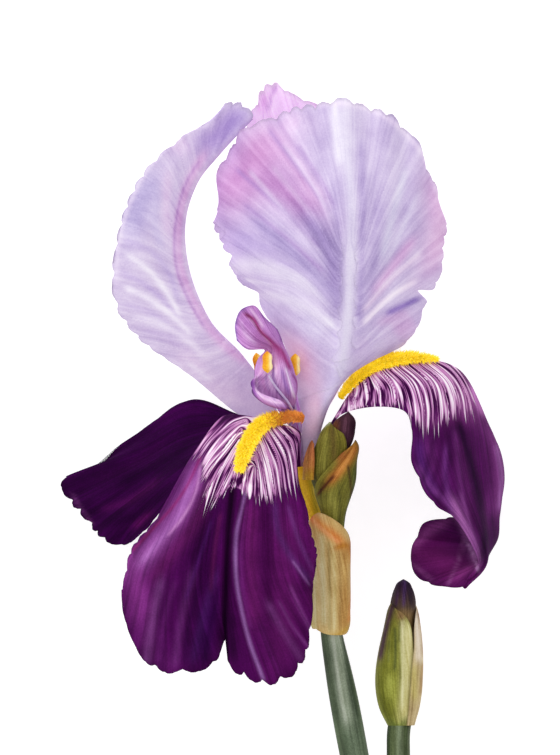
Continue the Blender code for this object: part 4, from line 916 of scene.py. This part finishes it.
        # This broad stroke is painted lighter than the petal's own colour, as painted light that lifts the shade on the
        # lower tip; the next one is a painted highlight.
        ("#7a2a72", 0.9, 4.4, (20, -26), (28, -31), (37, -37)),
        ("#a860a4", 0.5, 1.4, (33, -22), (27, -25.4), (22.6, -30)),
        ("#5a1458", 0.7, 1.2, (33, -26), (28, -28.4), (24, -29)),
        ("#b07ab0", 0.35, 0.4, (36.4, -26.6), (34.8, -32.6), (32, -38.6)),
        ("#9c4a94", 0.6, 1.0, (39, -33.4), (33.6, -37)),
        ("#8c548a", 0.5, 0.6, (22.6, -32.6), (28.4, -37.6)),
        ("#c08cc0", 0.8, 0.8, (25.6, 20), (32, 18), (36.6, 12.6), (41, 4)),
    )),
}


# What the falls' colours are multiplied by, as their sheen adds some grey.
FALL_TINT = np.array((1.0, 0.72, 0.95))


def make_petals():
    """The falls and standards, as finer sheets with thin scalloped margins. Returns the blade of each."""
    blades = {name: Blade(ribs) for name, ribs in RIBS.items()}
    for name, edge in EDGES.items():
        base, strokes = PAINT[name]
        kind, fanned = name.split("_")[0], None
        tint = FALL_TINT if kind == "fall" else 1.0
        if name in VEINS:
            count, guides = VEINS[name]
            fanned = lambda points, s, t: fan(points, guides) * (count, 1)
        elif name in STREAMS:
            fanned = lambda points, s, t: fan(points, STREAMS[name])
        elif name == "fall_left":
            fanned = lambda points, s, t: np.stack([7 * s, t / LEFT_VEINS_END], axis=-1)
        leaf(
            f"{name}_petal", waved(blades[name], **edge), GRIDS[name], PETAL,
            lambda points, s, t: brush(points, base, strokes) * tint, TISSUES.get(name, TISSUES[kind]), (name,),
            fanned=fanned, even=0.85,
        )
    return blades


# The heart of the flower

# A hair's thickness at its root and at its bend.
HAIR_ROOT, HAIR_BEND = 0.17, 0.13
# The share of each beard's length that is orange, its width along it, and the way it runs on into the throat.
ORANGE_SHARES = {"beard_front": 0.4, "beard_right": -0.6, "beard_left": 0.3}
BEARD_SIZES = {
    "beard_front": ((0, 0.6), (0.15, 0.9), (0.4, 1.0), (0.75, 1.0), (0.93, 0.7), (1, 0.25)),
    "beard_right": ((0, 0.3), (0.2, 0.85), (0.35, 1.0), (0.65, 1.0), (0.85, 0.6), (0.94, 0.3), (1, 0.1)),
    "beard_left": ((0, 0.55), (0.2, 1.0), (0.75, 1.0), (0.93, 0.7), (1, 0.25)),
}
BEARD_THROATS = {"beard_front": ((-4.5, 1.7, 11.2), (-5.8, 2.0, 11.6), (-7.1, 2.1, 11.7), (-8.4, 2.0, 11.3))}


def make_beard(name, blade, start, end, across, side, share, hairs=3000):
    """A dense brush of short hairs round a core along a fall's midrib, which may start orange at the throat."""
    draw = np.random.default_rng(len(name))
    core_radius = BEARD_CORE * share
    places = np.linspace(start, end, 12)
    middle = np.full_like(places, across)
    raised = blade.normal(places, middle) * side
    spots = blade.point(places, middle)
    throat = np.array(BEARD_THROATS.get(name, ())).reshape(-1, 3)
    spots, raised = np.concatenate([throat, spots]), np.concatenate([raised[:1].repeat(len(throat), axis=0), raised])
    both = path(np.concatenate([spots + raised * (PETAL / 2 + core_radius * 0.9), raised], axis=1))
    line, ups = lambda v: both(v)[:, :3], lambda v: both(v)[:, 3:]
    size = profile(*BEARD_SIZES[name])
    orange, yellow, pale = rgb("#c8803a"), rgb("#ecd226"), rgb("#fdf284")
    unripe = ORANGE_SHARES[name]
    core_points, core_faces, core_grown = tube(line, lambda v, turn: core_radius * 0.85 * size(v), 40, 20)
    core_share = smooth(unripe - 0.2, unripe + 0.1, core_grown[:, 1:])
    core_colours = (orange + (yellow - orange) * core_share) * 0.8
    spot = draw.uniform(0, 1, hairs)
    foot = line(spot)
    ahead = line(np.minimum(spot + 0.02, 1)) - line(np.maximum(spot - 0.02, 0))
    ahead /= np.linalg.norm(ahead, axis=1)[:, None]
    up = ups(spot)
    up /= np.linalg.norm(up, axis=1)[:, None]
    beside = np.cross(ahead, up)
    lean = draw.uniform(-2.3, 2.3, hairs)
    out = up * np.cos(lean)[:, None] + beside * np.sin(lean)[:, None]
    radius = (core_radius * size(spot))[:, None]
    reach = (BEARD_HAIR * draw.uniform(0.6, 1.25, hairs) * (1 - 0.5 * spot**8))[:, None]
    stray = draw.normal(0, 0.28, (hairs, 3))
    root = foot + out * radius * 0.75
    bend = foot + out * (radius + 0.45 * reach) + ahead * 0.2 + stray * 0.4
    tip = foot + out * (radius + reach) + ahead * 0.6 + stray
    ripe = smooth(unripe - 0.2, unripe + 0.1, spot + draw.normal(0, 0.06, hairs))[:, None]
    tone = (orange + (yellow - orange) * ripe) * draw.uniform(0.8, 1.1, hairs)[:, None]
    lit = tone + (pale - tone) * 0.5 * ripe
    turns = [2 * np.pi * k / 3 for k in range(3)]
    sides = [beside * math.cos(turn) + ahead * math.sin(turn) for turn in turns]
    body = np.stack([*(root + s * HAIR_ROOT for s in sides), *(bend + s * HAIR_BEND for s in sides), tip], axis=1)
    tones = np.stack([tone * 0.85] * 3 + [tone] * 3 + [lit], axis=1)
    pattern = [(2, 1, 0)]
    for k in range(3):
        after = (k + 1) % 3
        pattern += [(k, after, 3 + after, 3 + k), (3 + k, 3 + after, 6)]
    first = len(core_points)
    faces = core_faces + [tuple(first + 7 * h + c for c in face) for h in range(hairs) for face in pattern]
    grown = np.repeat(np.stack([spot * 40, spot], axis=-1), 7, axis=0)
    make_piece(
        f"{name}_hairs", np.concatenate([core_points, body.reshape(-1, 3)]), faces,
        np.concatenate([core_colours, tones.reshape(-1, 3)]), TISSUES["beard"], (name,),
        np.concatenate([core_grown, grown]),
    )


STYLE_COLOURS = ("#b67cbe", (
    # The broad pale stroke down the cup is painted light that lifts the shade inside the cup.
    ("#dcaede", 0.85, 3.0, (-11.5, 4), (-11.5, 12), (-11, 19)),
    ("#d09ad4", 0.8, 1.4, (-14.8, 19), (-14.6, 9)),
    ("#a45fa2", 0.7, 1.6, (-17, 25), (-13, 21)),
    ("#c796ca", 0.8, 1.0, (-19, 25.5), (-17, 22.5)),
    ("#c9a3d0", 0.6, 0.5, (-20, 28), (-18.4, 24.4), (-16, 22)),
    ("#8f6ab4", 0.85, 0.45, (-17.5, 31.8), (-19.8, 30.4), (-20.9, 28), (-21, 25), (-20, 21.6), (-18.4, 20.4)),
    ("#7d4a96", 0.7, 0.4, (-15.2, 29.6), (-12.6, 27.2), (-10.2, 24.6), (-9.8, 22.2)),
    ("#dcb8dc", 0.85, 0.35, (-17.6, 31), (-15.9, 28.6), (-14.2, 26)),
    ("#d9aed6", 0.7, 0.3, (-18, 28.6), (-16, 26.4), (-13.8, 23.8), (-11.6, 21.6)),
    ("#8e2468", 0.95, 0.5, (-19.1, 29.6), (-16.6, 28), (-15, 25.2), (-12.2, 22.7), (-10, 20.5), (-8.4, 17.4), (-7.5, 15.2)),
    ("#a4478c", 0.7, 0.9, (-13, 22.6), (-10.4, 20.2), (-8.6, 17)),
    ("#7f549c", 0.85, 0.35, (-11.7, 16.6), (-11.5, 12.6), (-9.9, 9.6), (-7.8, 7.8)),
    ("#8c62ac", 0.7, 0.5, (-9.8, 16), (-8.6, 12), (-7.4, 9)),
    ("#e0b6e2", 0.5, 0.22, (-13.3, 16), (-12.2, 11.6), (-10.4, 9.2), (-8, 7.4)),
    ("#cda9d6", 0.7, 0.3, (-14, 15.5), (-12.9, 10.2), (-10, 6.8)),
    ("#7f549c", 0.6, 0.25, (-11.8, 18), (-11.3, 13.4), (-9, 8.4)),
    ("#8f62a8", 0.5, 0.3, (-13.4, 17.4), (-13.2, 12), (-11.2, 7.6)),
    ("#c884c4", 0.7, 0.5, (-14.4, 14), (-13.6, 11), (-12, 9)),
    ("#83489a", 0.85, 1.0, (-16.4, 14), (-15.6, 8), (-12.4, 6.4), (-6, 5.6)),
    ("#4f1c68", 0.95, 0.45, (-16.6, 15), (-17, 11.8), (-16.7, 9), (-14.7, 6.6), (-11.9, 5.2), (-8.75, 4.9), (-6, 5.6)),
    # The pale line round the pouch's lip is a painted highlight.
    ("#e8c4e8", 0.7, 0.22, (-15.9, 14), (-15.5, 9.9), (-13.4, 8.2), (-11.25, 7.5), (-9.6, 7.3)),
    ("#e6d6ee", 0.75, 0.26, (-8.8, 16), (-7.4, 11.6), (-6.4, 8.6)),
    ("#8a3a80", 0.85, 0.35, (-7.3, 14.6), (-6, 12.4), (-5.7, 9)),
    ("#453484", 0.85, 0.6, (-7.6, 5.4), (-6.2, 6.2)),
))


def make_styles():
    """The three petal-like style arms."""
    base, strokes = STYLE_COLOURS
    leaf(
        "style_front_arm", Blade(STYLE_FRONT).point, (150, 120), 0.5, lambda points, s, t: brush(points, base, strokes),
        TISSUES["style"], ("style_front",),
    )
    for name, (azimuth, way) in STYLE_PATHS.items():
        turn = math.radians(azimuth)
        out = np.array((math.sin(turn), 0, math.cos(turn)))
        side = np.array((math.cos(turn), 0, -math.sin(turn)))
        ribs = [ring_rib(azimuth, 38.0, STYLE_RING, -9.0)]
        for (reach, height), half in zip(way, STYLE_HALF_WIDTHS):
            middle = np.array((THROAT[0], height, THROAT[2])) + out * reach
            edge = middle - (0, STYLE_ARCH * half, 0)
            ribs.append(([edge - side * half], middle, [edge + side * half]))
        leaf(
            f"{name}_arm", waved(Blade(ribs), 0.6, 2, 2, 0.05, 0.035, 3, 0.5, 0.5, 0.3), (70, 50), 0.5,
            lambda points, s, t: tinted(brush(points, base), "#8e2468", np.exp(-((s / 0.1) ** 2))),
            TISSUES["style"], (name,),
        )


def make_stamens():
    """The filaments, and anthers with two pollen sacs each."""
    size = profile((0, 0.06), (0.12, 0.8), (0.5, 1.0), (0.88, 0.75), (1, 0.06))
    for name, (azimuth, way, (low, high)) in STAMENS.items():
        foot = around(THROAT, FILAMENT_RING, np.array(azimuth))
        rod(
            f"filament_{name}_stalk", path([foot, *way]), lambda v, turn: 0.36 - 0.06 * v, 50, 14,
            lambda points, grown: brush(points, "#cdb4dc"), TISSUES["filament"], (f"filament_{name}",),
        )
        left, right = np.array(low[:2]) - (0.8, 0), np.array(high[:2]) - (0.8, 0)
        strokes = (("#e08e1a", 0.9, 0.6, left, right), ("#fff0b4", 0.9, 0.45, left + (1.7, 0), right + (1.7, 0)))
        rod(
            f"anther_{name}_sacs", path([low, high]), lambda v, turn: size(v) * (1 + 0.14 * np.cos(2 * turn)), 40, 28,
            lambda points, grown: brush(points, "#f8b522", strokes), TISSUES["anther"], (f"anther_{name}",),
        )


# Stem, buds and bracts

# Where the skin of the side branch meets its bud, and that of the tube the petals.
BRANCH_TOP, TUBE_TOP = (20.05, -73.4, -11.9), (-4.2, -8.6, 0.0)
# The tube's base colour is painted lighter than its own dull olive-yellow, as painted light that lifts the shade it
# lies in under the petals.
TUBE_COLOURS = ("#c49a1e", (
    ("#8f8a30", 0.6, 1.0, (-2.6, -9), (-0.4, -22)),
    ("#d8b23a", 0.6, 0.7, (-4.6, -10), (-2.4, -22)),
    ("#7a6a1c", 0.6, 0.5, (-1.4, -9), (0.8, -21)),
))
# The stem carries a painted highlight down its upper side, with painted shade along its left edge and in a thin dark
# line beside the highlight.
STEM_COLOURS = ("#5b6b52", (
    ("#6f7e66", 0.8, 1.8, (7, -66), (8.8, -78), (13.4, -100), (17.6, -120), (23, -164)),
    ("#a9b39d", 0.95, 1.6, (3, -42), (4.5, -56), (6, -67), (7.2, -74)),
    ("#bcc4b2", 0.6, 0.4, (2.6, -46), (4, -56), (5, -66), (6.6, -73)),
    ("#3f4c35", 0.9, 1.0, (0.2, -42), (1.6, -56), (3.2, -66), (5.3, -78), (9.2, -100), (13.4, -120), (19, -164)),
    ("#3f4e3a", 0.8, 0.5, (5, -46), (6.6, -56), (8.3, -66), (9.6, -72)),
))
# The side branch has a painted highlight down its middle and painted shade along both its sides.
BRANCH_COLOURS = ("#56623f", (
    ("#7f8c6e", 0.9, 0.8, (20, -68), (20.2, -90), (20.8, -105), (20, -120), (18.8, -140)),
    ("#3a4a2c", 0.9, 0.7, (17.2, -68), (17, -90), (17.6, -105), (17, -120), (15.8, -140)),
    ("#3f4f2e", 0.7, 0.6, (21.6, -68), (21.8, -90), (22.4, -105), (21.8, -120), (20.4, -138)),
))
SPATHE_COLOURS = ("#d6b472", (
    ("#a39c56", 0.85, 1.6, (-2.6, -30), (-2.4, -54)),
    # The next three pale streaks are partly the valve's own pale veins and partly painted highlight down its rounded
    # back.
    ("#e0d49c", 0.85, 0.8, (0.6, -25), (0.8, -38), (1.1, -49)),
    ("#dece92", 0.7, 0.6, (3.2, -28), (3.6, -40), (3.4, -50)),
    ("#d8cb94", 0.7, 0.5, (-1, -28), (-1.2, -41), (-0.8, -51)),
    ("#a4945e", 0.6, 0.4, (2.2, -27), (2.4, -38), (2.4, -50)),
    ("#b08a4e", 0.6, 0.4, (4.6, -28), (5, -38), (4.8, -50)),
    ("#c4954e", 0.8, 1.0, (5.8, -27), (6.3, -38), (5.9, -50)),
    ("#d9944c", 0.8, 0.5, (7.6, -27), (7.9, -38), (7, -48)),
    ("#e0883f", 0.95, 1.3, (-4, -19.4), (0, -23), (3, -25.6), (6.6, -28.6)),
    ("#f0a468", 0.8, 0.5, (-2.6, -21.2), (1.4, -25), (5, -28)),
    ("#c27e2c", 0.9, 0.8, (3, -29.4), (6.4, -28.4), (8, -34)),
    ("#c49a3c", 0.7, 0.7, (-4, -48.4), (2, -51.4), (8, -48.6)),
))
INNER_BRACT_COLOURS = ("#686020", (
    ("#837f36", 0.7, 1.2, (1.6, 1), (0.6, -11)),
    ("#5d5e22", 0.8, 1.4, (2, -13), (3.8, -24)),
    ("#434a1c", 0.85, 0.5, (-1.4, -1), (-2, -8), (-1.4, -13), (0.4, -20)),
    ("#a7b58c", 0.85, 0.35, (3, 2.8), (0.4, 0.6), (-1.2, -2.2), (-2.2, -8)),
    ("#553f20", 0.6, 0.8, (3, 2), (3.6, -8)),
    ("#8f8b3c", 0.5, 0.35, (0, 0), (-0.6, -8), (0.8, -17)),
))
OUTER_BRACT_COLOURS = ("#6e6a26", (
    ("#56602e", 0.8, 0.8, (8.6, -8), (8, -16), (5.6, -24)),
    ("#827e36", 0.7, 1.2, (2.6, -14), (4.4, -23)),
    ("#8a4a24", 0.9, 1.6, (5, -1), (5.6, -8.5)),
    ("#b8702f", 0.95, 1.3, (9.4, -2), (7.4, -6), (5, -9.4), (1.4, -13.4)),
    ("#cf8a44", 0.8, 0.45, (8.6, -3.6), (6, -8.2), (2.8, -12)),
    ("#4f1a12", 0.9, 0.45, (3.8, -10.6), (1.2, -13.4), (-0.8, -16)),
    ("#43301a", 0.85, 0.35, (6.8, -8), (7.4, -12), (7.8, -17)),
    ("#4a4a1c", 0.5, 0.35, (4.4, -12), (5, -18), (4.6, -24)),
))
FURL_COLOURS = ("#402230", (
    ("#714327", 0.9, 1.0, (3.8, 4), (3.6, -4)),
    ("#2c1424", 0.7, 0.8, (8, 3), (8.2, -1)),
    ("#5d3848", 0.7, 0.6, (6.4, 4), (6.2, -0.6)),
))
SIDE_BRACT_COLOURS = ("#83862f", (
    ("#e0d898", 0.9, 1.8, (22.4, -47), (22.4, -60), (21.2, -74)),
    ("#e6e2b0", 0.7, 0.5, (20.7, -47), (20.9, -58), (20.6, -70)),
    ("#a9ae4e", 0.7, 1.0, (17.4, -60), (17.6, -68)),
    ("#50582a", 0.85, 0.35, (18.9, -49), (19, -54), (18.8, -60)),
    ("#5c622e", 0.75, 0.3, (17.6, -52), (17.3, -58)),
    ("#5c622e", 0.75, 0.3, (20, -47.6), (19.9, -53)),
    ("#8a6a48", 0.9, 1.5, (20.6, -43.6), (20.4, -47.6)),
    ("#4a2a3e", 0.95, 0.85, (18.8, -42), (16.8, -49.6), (15, -58)),
    ("#6f7c38", 0.8, 1.0, (17, -72), (19.6, -74), (22, -72)),
))
SIDE_STRIP_COLOURS = ("#bda87a", (
    ("#eee2cc", 0.9, 0.7, (22.8, -41), (24.2, -48.4), (24.8, -58)),
    ("#8c6244", 0.85, 0.35, (24.4, -45), (25.5, -50), (25.8, -56)),
    ("#c2b468", 0.8, 1.0, (23.4, -58), (23.6, -68)),
    ("#97713f", 0.7, 0.4, (25.6, -58), (25, -66)),
))
SIDE_FURL_COLOURS = ("#26132f", (
    ("#8a6a48", 0.95, 3.4, (21, -44), (20.6, -52)),
    ("#b9ad58", 0.95, 6.0, (21, -51), (20.6, -76)),
    # A painted highlight on the dark tip of the side bud.
    ("#4c3262", 0.7, 0.45, (21.4, -36), (21, -44)),
    ("#45294f", 0.7, 0.4, (19.6, -40), (19, -44)),
    ("#1b0c24", 0.7, 0.5, (22.6, -40), (23, -44)),
))


def make_tube():
    """The tube below the flower, which widens into the funnel that carries the petals, and the ovary inside the spathe."""
    size = profile((0, 1.3), (0.1, 1.7), (0.3, 2.3), (0.5, 2.1), (0.75, 2.1), (0.9, 3.0), (1, FUNNEL_RADIUS))
    rod(
        "tube_and_ovary_skin", path((*TUBE_LINE[:-1], TUBE_TOP)), lambda v, turn: size(v) * (1 + 0.03 * np.cos(3 * turn)), 90, 60,
        lambda points, grown: brush(points, *TUBE_COLOURS), TISSUES["tube"], ("tube_and_ovary",),
    )


def make_stem():
    """The stem and its side branch, each with low ridges along it."""
    ridged = lambda size, count: lambda v, turn: size(v) * (1 + 0.012 * np.cos(count * turn))
    branch_size = profile((0, 2.5), (0.5, BRANCH_RADIUS), (1, 2.9))
    for name, line, size, rows, colours in (
        ("stem_skin", STEM_LINE, STEM_SIZE, 160, STEM_COLOURS),
        ("branch_skin", (*BRANCH_LINE, BRANCH_TOP), branch_size, 90, BRANCH_COLOURS),
    ):
        rod(
            name, path(line), ridged(size, 9), rows, 54, lambda points, grown: brush(points, *colours),
            TISSUES["stem"], ("stem",),
        )


def bract(name, line, radius, azimuth, half_angle, tip, colours, flat=1.0, grid=(80, 60), foot=0.0,
          blunt=1.6):
    """A leaf-like sheath. Each of radius, azimuth and half_angle is a list of (place along the sheath, value). foot is
    how far its foot rises at the sides, as a share of its length."""
    whole = sheath(path(line), profile(*radius), profile(*azimuth), profile(*half_angle), tip, flat, blunt)
    surface = lambda t, s: whole(t + foot * np.minimum(np.abs(s) / 0.55, 1) ** 3 * (1 - t) ** 8, s)
    leaf(
        f"{name}_leaf", surface, grid, 0.45, lambda points, s, t: brush(points, *colours), TISSUES["bract"], (name,)
    )


def make_furl(name, line, size, twist, rows, colours, flat=1.0):
    """The petals of a closed bud, wound round each other."""
    points, faces, grown = furled(path(line), size, twist, 3, 0.1, rows, 90, flat)
    make_piece(f"{name}_furled", points, faces, brush(points, *colours), TISSUES["furl"], (name,), grown)


def make_spathe_and_bud():
    """The tan valve round the ovary, and the second bud of the same spathe in its own bracts."""
    stalk = profile((0, 0.9), (1, 1.3))
    rod(
        "bud_stalk_skin", path(STALK_LINE), lambda v, turn: stalk(v), 40, 20,
        lambda points, grown: brush(points, "#7c8438"), TISSUES["bract"], ("bud_stalk",),
    )
    bract(
        "spathe_valve",
        SPATHE_LINE,
        radius=[(0, 3.45), (0.02, 3.95), (0.06, 4.5), (0.2, 5.0), (0.6, 5.4), (1, 5.3)],
        azimuth=[(0, 30.0), (0.5, 15.0), (1, -25.0)],
        half_angle=[(0, 160.0), (0.3, 130.0), (0.6, 115.0), (1, 100.0)],
        tip=0.28,
        colours=SPATHE_COLOURS,
        grid=(90, 90),
        foot=0.06,
    )
    size = profile((0, 0.05), (0.05, 0.5), (0.3, 1.6), (0.5, 3.4), (0.7, 3.5), (0.85, 3.2), (0.95, 2.0), (1, 0.05))
    make_furl("bud_petals", BUD_PETAL_LINE, size, 240, 90, FURL_COLOURS, BUD_FLAT)
    bract(
        "bud_bract_inner",
        BUD_LINE[:-1] + ((5.4, 2.6, 10.2),),
        radius=[(0, 1.1), (0.25, 2.1), (0.55, 4.9), (0.75, 4.9), (0.9, 4.4), (1, 4.0)],
        azimuth=[(0, -40.0), (1, -46.0)],
        half_angle=[(0, 100.0), (0.6, 92.0), (0.9, 62.0), (1, 24.0)],
        tip=0.1,
        colours=INNER_BRACT_COLOURS,
        flat=BUD_FLAT,
    )
    bract(
        "bud_bract_outer",
        BUD_LINE[:-1],
        radius=[(0, 2.1), (0.25, 3.0), (0.6, 6.1), (0.8, 6.1), (0.93, 5.8), (1, 4.8)],
        azimuth=[(0, 20.0), (0.5, 35.0), (1, 78.0)],
        half_angle=[(0, 100.0), (0.5, 85.0), (0.8, 52.0), (0.95, 38.0), (1, 30.0)],
        tip=0.13,
        blunt=2.6,
        colours=OUTER_BRACT_COLOURS,
        flat=BUD_FLAT,
    )
    bract(
        "bud_scale",
        ((2.7, -12.0, 6.6), (3.2, -6.0, 8.4), (3.9, -2.0, 9.4)),
        radius=[(0, 6.9), (0.5, 6.9), (1, 6.0)],
        azimuth=[(0, -74.0), (1, -78.0)],
        half_angle=[(0, 36.0), (0.6, 34.0), (1, 16.0)],
        tip=0.1,
        colours=("#b0683c", (
            ("#6c3c1a", 0.7, 0.4, (-1.8, 1), (-3, -8)), ("#b8921e", 0.95, 2.2, (-3.2, -8.4), (-2.6, -17)),
        )),
        flat=BUD_FLAT,
        grid=(40, 24),
    )


def make_side_bud():
    """The bud at the end of the side branch, in two bracts, and the bract where the branch leaves the stem."""
    size = profile(
        (0, 0.05), (0.1, 1.4), (0.21, 3.2), (0.37, 4.1), (0.5, 4.0), (0.64, 3.4), (0.76, 3.3), (0.87, 3.0), (0.94, 2.2),
        (0.98, 1.3), (1, 0.05),
    )
    make_furl("side_bud_petals", SIDE_BUD_LINE, size, 260, 110, SIDE_FURL_COLOURS)
    bract(
        "side_bud_bract_left",
        SIDE_BUD_LINE[:-1],
        radius=[(0, 2.9), (0.12, 4.3), (0.25, 5.0), (0.42, 5.3), (0.6, 4.9), (0.78, 4.2), (0.93, 3.7), (1, 3.5)],
        azimuth=[(0, -50.0), (1, -62.0)],
        half_angle=[(0, 125.0), (0.6, 110.0), (0.9, 72.0), (1, 24.0)],
        tip=0.08,
        colours=SIDE_BRACT_COLOURS,
        grid=(100, 70),
    )
    bract(
        "side_bud_bract_right",
        SIDE_BUD_LINE[:-1],
        radius=[(0, 3.5), (0.05, 4.1), (0.13, 5.1), (0.25, 6.0), (0.42, 6.25), (0.6, 5.9), (0.78, 4.9), (0.93, 3.7), (1, 2.9)],
        azimuth=[(0, 100.0), (1, 96.0)],
        half_angle=[(0, 70.0), (0.6, 58.0), (0.9, 40.0), (1, 16.0)],
        tip=0.08,
        colours=SIDE_STRIP_COLOURS,
        grid=(100, 50),
    )
    bract(
        "branch_bract",
        ((18.3, -133.0, -24.0), (19.4, -120.0, -21.2), (20.3, -104.0, -17.6)),
        radius=[(0, 3.95), (0.5, 4.25), (1, 3.9)],
        azimuth=[(0, 95.0), (1, 90.0)],
        half_angle=[(0, 100.0), (0.6, 70.0), (1, 12.0)],
        tip=0.1,
        colours=("#7c8438", (("#a3a458", 0.7, 0.8, (20, -132), (21.4, -108)),)),
        grid=(60, 44),
    )


# The studio


def make_floor():
    mesh = bpy.data.meshes.new("floor")
    mesh.from_pydata([(-6, -6, 0), (6, -6, 0), (6, 6, 0), (-6, 6, 0)], [], [(0, 1, 2, 3)])
    floor = bpy.data.objects.new("floor", mesh)
    bpy.context.scene.collection.objects.link(floor)
    s = Shader("floor_paper")
    place = s.node("ShaderNodeTexCoord").outputs["Object"]
    weave = s.noise(place, (260.0, 260.0, 260.0), 3.0, 0.6)
    shade = s.mix((0.5, 0.5, 0.503, 1), (0.53, 0.53, 0.533, 1), weave)
    s.tree.links.new(shade, s.bsdf.inputs["Emission Color"])
    s.bsdf.inputs["Emission Strength"].default_value = FLOOR_GLOW
    dull = s.remap(weave, 0.0, 1.0, 0.85, 0.95)
    mesh.materials.append(s.finish(shade, dull, weave, 0.05, Specular_IOR_Level=0.1))


def make_light():
    world = bpy.data.worlds.new("studio")
    world.use_nodes = True
    world.node_tree.nodes["Background"].inputs["Color"].default_value = (1.0, 0.99, 1.0, 1)
    world.node_tree.nodes["Background"].inputs["Strength"].default_value = SKY
    bpy.context.scene.world = world
    lamp = bpy.data.lights.new("softbox", "AREA")
    lamp.shape = "RECTANGLE"
    lamp.size, lamp.size_y = 1.2, 1.2
    lamp.energy = KEY
    softbox = bpy.data.objects.new("softbox", lamp)
    softbox.location = (-0.7, 0.75, 1.25)
    softbox.rotation_euler = (Vector((0, 0.03, 0.03)) - softbox.location).to_track_quat("-Z", "Y").to_euler()
    bpy.context.scene.collection.objects.link(softbox)


def make_camera():
    """Looks straight down on the lying flower, from far off as the photograph does."""
    data = bpy.data.cameras.new("camera")
    data.sensor_width = 36.0
    data.lens = data.sensor_width * VIEW_DISTANCE / VIEW_HEIGHT
    data.clip_end = 50.0
    camera = bpy.data.objects.new("camera", data)
    centre = (np.array((*VIEW_CENTRE, 8.0)) + REST) * MM
    camera.location = (centre[0], centre[1], centre[2] + VIEW_DISTANCE * MM)
    bpy.context.scene.collection.objects.link(camera)
    bpy.context.scene.camera = camera


# A tissue's glow is painted light: it shines with its own colour to stay bright in shade, most on the back standard
# behind the others, the beards among their own hairs and the tube under the petals.
TISSUES = {
    "standard": tissue(
        "standard_tissue", streak=0.35, fine=0.3, across=0.9, along=0.7, rough=0.65, specular=0.1, layer="fan", glow=0.05
    ),
    "standard_back": tissue("back_tissue", streak=0.3, fine=0.3, across=7.0, rough=0.6, specular=0.2, glow=0.35),
    "fall": tissue("fall_tissue", streak=0.4, fine=0.25, across=6.0, rough=0.75, specular=0.02, striped=True),
    "beard": tissue("beard_hair", streak=0.2, fine=0.2, grain=0.3, rough=0.6, specular=0.1, glow=0.36),
    "style": tissue("style_tissue", streak=0.4, fine=0.6, across=5.0, specular=0.15, glow=0.08),
    "filament": tissue("filament_tissue", streak=0.3, fine=0.2),
    "anther": tissue("anther_tissue", streak=0.2, fine=0.3, grain=0.5, rough=0.75, glow=0.15),
    "tube": tissue("tube_tissue", streak=0.5, grain=0.3, across=4.0, specular=0.1, glow=0.4),
    "stem": tissue("stem_tissue", streak=0.4, grain=0.3, across=3.0, along=2.0, specular=0.12),
    "bract": tissue("bract_tissue", streak=0.5, fine=0.4, grain=0.3, across=4.0, specular=0.1),
    "furl": tissue("bud_petal_tissue", streak=0.4, specular=0.06),
}
make_camera()
make_floor()
make_light()
BLADES = make_petals()
for beard, (fall, *spot) in BEARDS.items():
    make_beard(beard, BLADES[fall], *spot)
make_styles()
make_stamens()
make_tube()
make_stem()
make_spathe_and_bud()
make_side_bud()
bpy.context.scene.view_settings.view_transform = "Standard"
